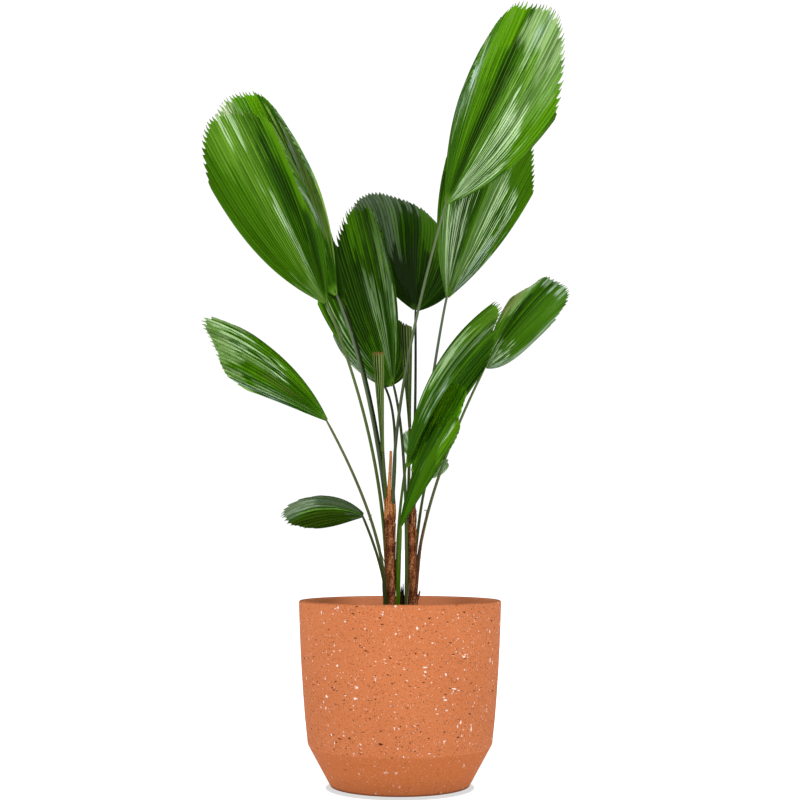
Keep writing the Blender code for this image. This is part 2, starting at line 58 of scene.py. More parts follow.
# Pot, soil and stems, as in the solids.
POT_RIM_RADIUS = 0.1750
POT_HEIGHT = 0.3140
POT_WALL = 0.0090
POT_FLOOR = 0.0140
POT_FOOT_RADIUS = 0.1150
POT_BASE_RADIUS = 0.1228
POT_BASE_ROUND = 0.0070
POT_CHAMFER_TOP = 0.0650
POT_CHAMFER_RADIUS = 0.1566
POT_SHOULDER_TOP = 0.0780
POT_SHOULDER_RADIUS = 0.1600
POT_BELLY = 0.0020
SEAT_GAP = 0.0003
SOIL_TOP = 0.2760
SOIL_MOUND = 0.0040
LEFT_HEAD = 0.4875
RIGHT_HEAD = 0.4730
SOIL_LEVEL = SOIL_TOP + SEAT_GAP
LEFT_LEVEL = LEFT_HEAD + SEAT_GAP
RIGHT_LEVEL = RIGHT_HEAD + SEAT_GAP
STEMS = {
    "stem_left": ((-0.0175, 0.0000, SOIL_LEVEL), (-0.0175, 0.0000, LEFT_HEAD), 0.0096, 0.0092),
    "stem_right": ((0.0218, 0.0040, SOIL_LEVEL), (0.0195, 0.0040, RIGHT_HEAD), 0.0090, 0.0082),
}
SHEATH_FOOT = (-0.0190, -0.0055, LEFT_LEVEL)
SHEATH_TIP = (-0.0160, -0.0080, 0.5720)
SHEATH_HALF_WIDTH = 0.0024
SHEATH_FLARE = 0.0024
PETIOLE_TIP_RADIUS = 0.0021

# One entry a fan, as in the solids: foot and middle of its stalk, its hub, the way it points, its
# size and its folds. Lengths in metres, turns in degrees; "fold" and "curl" hold the left and the
# right half.
FANS = {
    "a": dict(foot=(-0.0118, -0.0035, LEFT_LEVEL), mid=(0.0099, -0.0310, 0.7085),
              hub=(0.077, -0.070, 0.992), seat=0.0096, thick=0.0030, heading=10.5, rise=69.1, roll=90.9,
              length=0.376, spread=49, close=0.24, drop=0.23, square=2.8, lean=-0.02,
              fold=(46, -34), curl=(42, 16), bow=-42.2, sway=-2.3, twist=-27.3),
    "b": dict(foot=(0.0237, 0.0035, RIGHT_LEVEL), mid=(0.0617, 0.0250, 0.7269),
              hub=(0.084, 0.050, 0.847), seat=0.0097, thick=0.0027, heading=31.9, rise=81, roll=93.8,
              length=0.407, spread=45, close=0.52, drop=0.34, square=1.9, lean=0.11,
              fold=(19, -8), curl=(17, 16), bow=-19.8, sway=6.2, twist=-17.5),
    "c": dict(foot=(-0.0245, 0.0165, SOIL_LEVEL), mid=(-0.0439, 0.0040, 0.5497),
              hub=(-0.124, -0.100, 0.814), seat=0.0097, thick=0.0034, heading=154.5, rise=74.9, roll=-78.5,
              length=0.350, spread=49, close=0.55, drop=0.23, square=5.0, lean=-0.07,
              fold=(-17, 48), curl=(24, 32), bow=-50.5, sway=-1.7, twist=29.1),
    "d": dict(foot=(0.0100, -0.0050, SOIL_LEVEL), mid=(0.0076, 0.0000, 0.5355),
              hub=(-0.012, 0.040, 0.687), seat=0.0096, thick=0.0031, heading=102, rise=70.5, roll=-44,
              length=0.349, spread=53, close=0.34, drop=0.23, square=1.8, lean=-0.08,
              fold=(-26, 41), curl=(36, 21), bow=-31.9, sway=6.2, twist=17.5),
    "e": dict(foot=(-0.0125, 0.0050, LEFT_LEVEL), mid=(-0.0103, 0.0700, 0.6195),
              hub=(-0.028, 0.150, 0.697), seat=0.0095, thick=0.0027, heading=106, rise=41, roll=7.2,
              length=0.215, spread=60, close=0.96, drop=0.27, square=3.6, lean=0.04,
              fold=(-1, -5), curl=(11, 14), bow=-23.2, sway=-7.2, twist=3.1),
    "f": dict(foot=(0.0190, 0.0095, RIGHT_LEVEL), mid=(0.0267, 0.0480, 0.6385),
              hub=(0.029, 0.100, 0.832), seat=0.0096, thick=0.0027, heading=99.4, rise=53, roll=11.7,
              length=0.309, spread=55, close=0.64, drop=0.36, square=3.5, lean=0.05,
              fold=(7, -8), curl=(-17, -13), flare=40, bow=-15.3, sway=4.3, twist=-12),
    "g": dict(foot=(-0.0080, 0.0180, SOIL_LEVEL), mid=(-0.0441, 0.0140, 0.6052),
              hub=(-0.109, -0.040, 0.837), seat=0.0098, thick=0.0032, heading=144.7, rise=69.7, roll=-91.4,
              length=0.390, spread=40, close=0.49, drop=0.28, square=4.7, lean=-0.02,
              fold=(3, 24), curl=(14, 32), bow=-44.9, sway=19.8, twist=17.4),
    "h": dict(foot=(-0.0165, 0.0265, SOIL_LEVEL), mid=(-0.0323, 0.0350, 0.5566),
              hub=(-0.096, 0.060, 0.833), seat=0.0096, thick=0.0030, heading=165.3, rise=62.7, roll=-78.9,
              length=0.357, spread=42, close=0.62, drop=0.37, square=3.0, lean=-0.10,
              fold=(42, 58), curl=(8, 16), bow=-2.5, sway=-0.8, twist=11.7),
    "i": dict(foot=(-0.0300, -0.0060, SOIL_LEVEL), mid=(-0.0419, -0.0290, 0.4259),
              hub=(-0.121, -0.060, 0.618), seat=0.0099, thick=0.0031, heading=211, rise=39, roll=-94.9,
              length=0.300, spread=22, close=0.86, drop=0.29, square=5.9, lean=0.07,
              fold=(-7, -1), curl=(-18, 13), bow=-35.5, sway=-29.8, twist=-34.2),
    "j": dict(foot=(-0.0250, -0.0125, SOIL_LEVEL), mid=(-0.0298, -0.0370, 0.3565),
              hub=(-0.057, -0.070, 0.458), seat=0.0102, thick=0.0028, heading=209.5, rise=19, roll=-108.1,
              length=0.179, spread=36, close=1.15, drop=0.35, square=2.2, lean=-0.05,
              fold=(23, -52), curl=(-20, 22), bow=-35.1, sway=-36.5, twist=-40),
    "k": dict(foot=(-0.0010, 0.0020, SOIL_LEVEL), mid=(-0.0040, -0.0120, 0.4090),
              hub=(0.010, -0.030, 0.538), seat=0.0095, thick=0.0030, heading=319.9, rise=86.4, roll=43.1,
              length=0.343, spread=52, close=1.10, drop=0.15, square=3.5, lean=0.01,
              fold=(-54, -12), curl=(-5, -5), bow=51, sway=-3.7, twist=-11.1),
    "l": dict(foot=(0.0270, 0.0170, SOIL_LEVEL), mid=(0.0519, 0.0350, 0.4753),
              hub=(0.152, 0.060, 0.724), seat=0.0097, thick=0.0031, heading=55.2, rise=50.8, roll=61.7,
              length=0.219, spread=51, close=0.32, drop=0.16, square=5.0, lean=0.12,
              fold=(59, -30), curl=(-16, -26), bow=-53.2, sway=6.8, twist=-23.8),
    "m": dict(foot=(0.0185, -0.0015, RIGHT_LEVEL), mid=(0.0190, -0.0190, 0.5080),
              hub=(0.018, -0.055, 0.530), seat=0.0103, thick=0.0022, heading=0.7, rise=50.8, roll=47.2,
              length=0.175, spread=42, close=0.68, drop=0.23, square=3.6, lean=-0.02,
              fold=(-3, 31), curl=(-10, -14), bow=-21.5, sway=2.6, twist=12.7),
    "n": dict(foot=(-0.0044, -0.0130, SOIL_LEVEL), mid=(-0.0020, -0.0560, 0.3580),
              hub=(-0.002, -0.120, 0.432), seat=0.0101, thick=0.0040, heading=342.8, rise=66.8, roll=40,
              length=0.212, spread=43, close=0.54, drop=0.30, square=2.1, lean=-0.02,
              fold=(-14, 16), curl=(26, 5), bow=7.2, sway=16.5, twist=1.6),
    "p": dict(foot=(0.0175, 0.0195, SOIL_LEVEL), mid=(0.0327, 0.0440, 0.4412),
              hub=(0.052, 0.080, 0.526), seat=0.0098, thick=0.0030, heading=99, rise=37, roll=24,
              length=0.143, spread=50, close=0.51, drop=0.38, square=1.8, lean=0.06,
              fold=(4, -2), curl=(-3, -7), bow=-9, sway=-2, twist=-2),
}

# The two closed spears: foot, middle and head of the stalk, top of the spear, width at the top.
SPEARS = {
    "q": dict(foot=(0.0140, 0.0040, RIGHT_LEVEL), mid=(0.016, 0.010, 0.547), hub=(0.017, 0.018, 0.621),
              top=(0.010, 0.020, 0.794), width=0.0215, thick=0.0030, neck=0.0028, grown=0.90, slope=0.55,
              brown=0.10, light=1.3),
    "r": dict(foot=(-0.0230, 0.0010, LEFT_LEVEL), mid=(-0.027, -0.011, 0.532), hub=(-0.030, -0.022, 0.576),
              top=(-0.038, -0.030, 0.738), width=0.0195, thick=0.0034, neck=0.0030, grown=1.00, slope=0.0,
              brown=0.80, light=1.7),
}

# The camera, from the ellipses of the pot's rim and foot in the photograph.
CAMERA_PLACE = (0.0, -2.60, 0.434)
CAMERA_TILT = 5.0
FOCAL_PIXELS = 1490.0
FRAME_PIXELS = 800.0
SENSOR_WIDTH = 36.0

# Fine shape of a fan.
NECK_LENGTH = 0.0040
FLARE_FROM = 0.6
FOLD_ROUND = 0.10
BEND_STEPS = 141
RIB_STEPS = 61
COLUMNS_A_PLEAT = 6
FAN_ROWS = 44
MARGIN_STEPS = 161


# ---- shader maths ----
class Link:
    """An output socket that takes part in Python arithmetic by adding Math nodes."""

    def __init__(self, shader, socket):
        self.shader = shader
        self.socket = socket

    def math(self, operation, *others):
        return self.shader.math(operation, self, *others)

    def __add__(self, other):
        return self.math("ADD", other)

    def __sub__(self, other):
        return self.math("SUBTRACT", other)

    def __mul__(self, other):
        return self.math("MULTIPLY", other)

    def __truediv__(self, other):
        return self.math("DIVIDE", other)

    def __pow__(self, other):
        return self.math("POWER", other)

    def __rsub__(self, other):
        return self.shader.math("SUBTRACT", other, self)

    __radd__ = __add__
    __rmul__ = __mul__


class Shader:
    """A material with a Principled BSDF and short ways to add and link nodes."""

    def __init__(self, name):
        self.material = bpy.data.materials.new(name)
        self.material.use_nodes = True
        self.tree = self.material.node_tree
        self.surface = self.tree.nodes["Principled BSDF"]

    def feed(self, socket, value):
        if isinstance(value, Link):
            self.tree.links.new(value.socket, socket)
        elif value is not None:
            is_colour = socket.type == "RGBA" and len(value) == 3
            socket.default_value = (*value, 1.0) if is_colour else value

    def node(self, kind, settings=None, inputs=None, output=0):
        """Adds any node: its settings first, then the values or links of its sockets."""
        node = self.tree.nodes.new(kind)
        for name, value in (settings or {}).items():
            setattr(node, name, value)
        for name, value in (inputs or {}).items():
            self.feed(node.inputs[name], value)
        return Link(self, node.outputs[output])

    def math(self, operation, *values):
        return self.node("ShaderNodeMath", {"operation": operation}, dict(enumerate(values)))

    def mix(self, share, first, second):
        """Colour between two colours; the Mix node's colour sockets are numbers 6 and 7."""
        return self.node("ShaderNodeMix", {"data_type": "RGBA"}, {0: share, 6: first, 7: second}, 2)

    def place(self):
        return self.node("ShaderNodeTexCoord", output="Object")

    def vector(self, x, y, z):
        return self.node("ShaderNodeCombineXYZ", inputs={"X": x, "Y": y, "Z": z})

    def stretched(self, vector, scale):
        """The same pattern place with each axis scaled by its own number."""
        return self.node("ShaderNodeMapping", inputs={"Vector": vector, "Scale": scale})

    def noise(self, vector, scale, detail=3.0, roughness=0.5):
        return self.node("ShaderNodeTexNoise", inputs={
            "Vector": vector, "Scale": scale, "Detail": detail, "Roughness": roughness})

    def chance(self, number):
        """A random share that keeps its value from one whole number to the next."""
        whole = self.math("FLOOR", number)
        return self.node("ShaderNodeTexWhiteNoise", {"noise_dimensions": "1D"}, {"W": whole})

    def cells(self, vector, scale, output="Distance"):
        return self.node("ShaderNodeTexVoronoi", inputs={"Vector": vector, "Scale": scale}, output=output)

    def step(self, value, low, high):
        """0 below low and 1 above high, smooth between; high may be the lower of the two."""
        inputs = {"Value": value, "From Min": low, "From Max": high}
        return self.node("ShaderNodeMapRange", {"interpolation_type": "SMOOTHSTEP"}, inputs)

    def finish(self, colour, roughness, height=None, depth=0.001, **constants):
        self.feed(self.surface.inputs["Base Color"], colour)
        self.feed(self.surface.inputs["Roughness"], roughness)
        for name, value in constants.items():
            self.surface.inputs[name.replace("_", " ")].default_value = value
        if height is not None:
            bump = self.node("ShaderNodeBump", inputs={"Height": height, "Distance": depth})
            self.feed(self.surface.inputs["Normal"], bump)
        return self.material


def clay_material(settings):
    """Fired clay with irregular white and brown chips; painted shade on the foot, painted light inside the
    rim.
    """
    shader = Shader("speckled_clay")
    place = shader.place()
    height = shader.node("ShaderNodeSeparateXYZ", inputs={"Vector": place}, output="Z")
    wobble = shader.noise(place, 260.0, 2.0)
    cloudy = shader.noise(place, 9.0, 4.0)
    grain = shader.noise(place, 620.0, 3.0, 0.6)
    colour = shader.mix(shader.step(cloudy, 0.3, 0.7), settings.clay_deep, settings.clay)
    # Painted shade: the chamfered foot, which faces the floor, is painted darker.
    foot = shader.step(height, 0.0695, 0.0650)
    colour = shader.mix(foot * 0.9, colour, settings.clay_foot_painted_shade)
    flat = shader.node("ShaderNodeVectorMath", {"operation": "MULTIPLY"}, {0: place, 1: (1.0, 1.0, 0.0)})
    away = shader.node("ShaderNodeVectorMath", {"operation": "LENGTH"}, {0: flat}, "Value")
    # Painted light: the inner wall below the rim is painted paler to offset the shade inside the pot.
    inside = shader.step(away, 0.1672, 0.1660) * shader.step(height, 0.20, 0.26)
    colour = shader.mix(inside, colour, settings.clay_inside_painted_light)
    colour = shader.mix(shader.step(grain, 0.56, 0.70) * 0.45, colour, settings.clay_light)
    colour = shader.mix(shader.step(grain, 0.44, 0.32) * 0.40, colour, settings.clay_dark)
    relief = grain * 0.25
    # Scale of the cells, share of them left plain, size and stretch of the chips, tint and strength.
    flecks = (
        (62.0, 0.88, 0.20, (1.0, 1.0, 1.7), settings.fleck_pale, 0.95),
        (95.0, 0.86, 0.22, (1.6, 1.6, 0.8), settings.fleck_pale, 0.90),
        (150.0, 0.86, 0.24, (1.0, 1.0, 1.6), settings.fleck_pale, 0.80),
        (330.0, 0.86, 0.26, (1.0, 1.0, 1.0), settings.fleck_pale, 0.55),
        (85.0, 0.90, 0.22, (0.8, 0.8, 1.8), settings.fleck_dark, 0.97),
        (150.0, 0.80, 0.25, (0.8, 0.8, 1.6), settings.fleck_dark, 0.95),
        (300.0, 0.66, 0.30, (1.0, 1.0, 1.3), settings.fleck_dark, 0.85),
        (480.0, 0.60, 0.32, (1.0, 1.0, 1.0), settings.fleck_dark, 0.70),
    )
    for number, (scale, share, radius, stretch, tint, strength) in enumerate(flecks):
        turned = shader.node("ShaderNodeMapping", inputs={
            "Vector": place, "Rotation": (0.7 * number, 0.5 * number, 0.0), "Scale": stretch})
        moved = shader.node("ShaderNodeVectorMath", {"operation": "ADD"}, {
            0: turned, 1: (0.37 * number, 0.11 * number, 0.23 * number)})
        warp = shader.node("ShaderNodeVectorMath", {"operation": "SCALE"}, {
            0: shader.node("ShaderNodeTexNoise", inputs={"Vector": moved, "Scale": scale * 2.6},
                           output="Color"), "Scale": 0.85 / scale})
        there = shader.node("ShaderNodeVectorMath", {"operation": "ADD"}, {0: moved, 1: warp})
        near = shader.cells(there, scale)
        pick = shader.node("ShaderNodeSeparateColor", inputs={
            "Color": shader.cells(there, scale, "Color")}, output=0)
        reach = (pick - share) * (radius / (1.0 - share)) + radius * 0.4
        mask = shader.step(near, reach, reach * 0.6) * shader.step(pick, share, share + 0.005)
        kept = 1.0 - (inside + foot * 0.75) * 0.8
        colour = shader.mix(mask * kept * strength, colour, tint)
        relief = relief - mask * 0.2
    # Painted shade: the last 5 mm above the floor are darkened as contact shade.
    colour = shader.mix(shader.step(height, 0.0050, 0.0) * 0.7, colour, settings.fleck_dark)
    return shader.finish(colour, 0.78 + wobble * 0.15, relief, 0.0006, Specular_IOR_Level=0.12)


def soil_material(settings):
    shader = Shader("potting_soil")
    place = shader.place()
    coarse = shader.noise(place, 120.0, 4.0, 0.65)
    fine = shader.noise(place, 700.0, 3.0, 0.6)
    colour = shader.mix(shader.step(coarse, 0.35, 0.65), settings.soil_dark, settings.soil_brown)
    colour = shader.mix(shader.step(fine, 0.60, 0.72) * 0.6, colour, settings.soil_crumb)
    return shader.finish(colour, 0.95, coarse * 0.6 + fine * 0.4, 0.003, Specular_IOR_Level=0.2)


def plain_crumb_material(name, low, high):
    shader = Shader(name)
    tone = shader.noise(shader.place(), 160.0, 2.0)
    colour = shader.mix(shader.step(tone, 0.35, 0.65), low, high)
    return shader.finish(colour, 0.9, shader.noise(shader.place(), 1500.0, 2.0), 0.0006)


def toned(colour, share):
    return tuple(part * share for part in colour)


def stalk_material(name, low, high, run):
    """Long fine streaks along a stalk; the grain attribute holds its round and its length."""
    shader = Shader(name)
    grain = shader.node("ShaderNodeAttribute", {"attribute_name": "grain"}, output="Vector")
    rise = shader.node("ShaderNodeSeparateXYZ", inputs={"Vector": grain}, output="Z")
    fine = shader.noise(shader.stretched(grain, (2.2, 2.2, 22.0)), 1.6, 3.0)
    broad = shader.noise(shader.stretched(grain, (1.0, 1.0, 14.0)), 1.3, 2.0)
    specks = shader.noise(shader.stretched(grain, (1.5, 1.5, 260.0)), 1.5, 2.0)
    tone = shader.step(rise + broad * 0.1, 0.1 * run, 0.9 * run + 0.05)
    colour = shader.mix(tone, low, high)
    colour = shader.mix(shader.step(broad, 0.52, 0.72) * 0.40, colour, toned(low, 0.45))
    colour = shader.mix(shader.step(fine, 0.52, 0.70) * 0.45, colour, shader.mix(
        tone, toned(low, 1.7), toned(high, 1.7)))
    colour = shader.mix(shader.step(specks, 0.64, 0.74) * 0.45, colour, toned(low, 0.35))
    return shader.finish(colour, 0.5 + fine * 0.15, fine, 0.0004, Specular_IOR_Level=0.04)


def spear_material(name, settings, spear):
    """Dark pleats with pale crests and brown tips, along and around a closed spear, painted lighter on its
    right side.
    """
    shader = Shader(name)
    grain = shader.node("ShaderNodeAttribute", {"attribute_name": "grain"}, output="Vector")
    crest = shader.node("ShaderNodeSeparateXYZ", inputs={"Vector": grain}, output="X")
    side = Link(shader, crest.socket.node.outputs["Y"])
    below = Link(shader, crest.socket.node.outputs["Z"])
    green, edge = toned(settings.spear_green, spear["light"]), toned(settings.spear_edge, spear["light"])
    fine = shader.noise(shader.vector(side * 12.0, below * 30.0, crest), 1.5, 3.0)
    light = shader.step(crest + fine * 0.5, 0.75, 1.25)
    # Painted light: the spear's right side and the crests on it are painted lighter, as if lit from that
    # side.
    right = shader.step(shader.math("ABSOLUTE", side), 0.62, 0.35)
    colour = shader.mix(light, settings.spear_dark, green)
    colour = shader.mix(right * 0.55, colour, green)
    colour = shader.mix(shader.step(crest + fine * 0.4, 1.10, 1.28) * 0.85, colour, edge)
    colour = shader.mix(light * right * 0.55, colour, edge)
    tip = shader.step(below - fine * 0.006, 0.002, -0.002)
    colour = shader.mix(tip * spear["brown"], colour, settings.spear_tip)
    return shader.finish(colour, 0.55, fine, 0.0004, Specular_IOR_Level=0.05)


def bark_material(name, low, high, pale, shade=0.0, head=None):
    """Fibres along the stem with dark gaps and pale worn threads, painted shade on one side, pale at its
    head.
    """
    shader = Shader(name)
    grain = shader.node("ShaderNodeAttribute", {"attribute_name": "grain"}, output="Vector")
    side = shader.node("ShaderNodeSeparateXYZ", inputs={"Vector": grain}, output="X")
    length = Link(shader, side.socket.node.outputs["Z"])
    threads = shader.noise(shader.stretched(grain, (4.5, 4.5, 36.0)), 1.7, 4.0, 0.7)
    bands = shader.noise(shader.stretched(grain, (1.0, 1.0, 36.0)), 1.3, 3.0, 0.6)
    net = shader.noise(shader.stretched(grain, (5.5, 5.5, 320.0)), 1.3, 5.0, 0.8)
    colour = shader.mix(shader.step(bands, 0.32, 0.66), low, high)
    if head is not None:
        start, tint = head
        near = shader.step(length + bands * 0.02, start, start + 0.022)
        colour = shader.mix(near * 0.85, colour, tint)
    colour = shader.mix(shader.step(threads, 0.47, 0.39) * 0.80, colour, toned(low, 0.25))
    colour = shader.mix(shader.step(net + bands * 0.5, 0.76, 0.86) * 0.90, colour, pale)
    colour = shader.mix(shader.step(net, 0.49, 0.43) * 0.80, colour, toned(low, 0.30))
    # Painted shade: one side of the stem, chosen by the sign of shade, is painted darker.
    if shade != 0.0:
        colour = shader.mix(shader.step(side * (1.0 if shade > 0.0 else -1.0), -0.1, 0.8) * abs(shade),
                            colour, toned(low, 0.40))
    return shader.finish(colour, 0.85, threads * 0.6 + net * 0.4, 0.0022, Specular_IOR_Level=0.03)


# How a band is painted on a blade: colour, strength, how far streaks break it up, how soft its sides are, how
# closely the streaks keep to the crests of the pleats, and how far it calms the relief. The near-black and
# dark paints are painted shade, the whitish paints are painted highlights and reflections, and the pale and
# bright greens are partly the leaf's own tone and partly painted light.
PAINTS = {
    # Painted shade: near-black and dark greens for the folds and for parts of fans in shade.
    "valley_with_painted_shade": ((0.008, 0.030, 0.002), 0.96, 0.25, 0.60, 0.0, 0.0),
    "painted_black_shade": ((0.005, 0.011, 0.002), 0.95, 0.25, 0.60, 0.0, 0.0),
    "deep": ((0.018, 0.066, 0.003), 0.80, 0.40, 0.70, 0.0, 0.0),
    "green": ((0.050, 0.150, 0.002), 0.90, 0.15, 0.60, 0.0, 0.7),
    "fresh": ((0.095, 0.265, 0.003), 0.80, 0.40, 0.60, 0.2, 0.2),
    # Painted light: bright yellow-green where the blade is strongly lit.
    "painted_lit_patch": ((0.098, 0.262, 0.002), 0.95, 0.15, 0.20, 0.0, 0.7),
    "lime": ((0.140, 0.300, 0.022), 0.85, 0.45, 0.70, 0.4, 0.2),
    "moss": ((0.034, 0.060, 0.004), 0.94, 0.20, 0.40, 0.0, 0.5),
    "olive": ((0.085, 0.125, 0.016), 0.80, 0.50, 0.60, 0.2, 0.2),
    "mist": ((0.120, 0.220, 0.060), 0.70, 0.50, 0.80, 0.4, 0.0),
    "grey": ((0.115, 0.165, 0.095), 0.85, 0.25, 0.60, 0.2, 0.0),
    # Pale grey, partly the leaf's own tone and partly painted sheen.
    "pale_grey_and_painted_sheen": ((0.300, 0.400, 0.260), 0.90, 0.45, 0.70, 0.3, 0.2),
    "dry": ((0.230, 0.240, 0.080), 0.75, 0.50, 0.80, 0.4, 0.0),
    # Painted light: a pale green that lifts parts of fans in shade.
    "painted_pale_light": ((0.180, 0.320, 0.080), 0.85, 0.45, 0.60, 0.3, 0.2),
    # Painted shade: a dark grey.
    "painted_grey_shade": ((0.018, 0.030, 0.012), 0.95, 0.25, 0.60, 0.0, 0.0),
    # Painted light: the pale green of strongly lit parts.
    "painted_light_wash": ((0.300, 0.440, 0.170), 0.90, 0.60, 0.20, 0.3, 0.4),
    # Painted light: a bright green that lifts a part in shade.
    "painted_light_green": ((0.330, 0.700, 0.100), 0.92, 0.50, 0.30, 0.3, 0.4),
    # Pale green streaks, partly the leaf's own tone and partly painted light.
    "pale": ((0.200, 0.380, 0.060), 0.80, 0.85, 0.80, 0.5, 0.0),
    # Painted highlights and reflections: whitish streaks; the last keeps to the crests of the pleats.
    "glint": ((0.260, 0.380, 0.180), 0.85, 0.95, 0.80, 0.6, 0.0),
    "sheen": ((0.490, 0.680, 0.350), 0.95, 1.00, 0.50, 0.5, 0.0),
    "painted_reflection": ((0.420, 0.560, 0.440), 0.95, 1.00, 0.50, 0.4, 0.0),
    "ribs": ((0.520, 0.700, 0.380), 0.95, 1.00, 0.60, 1.0, 0.0),
}
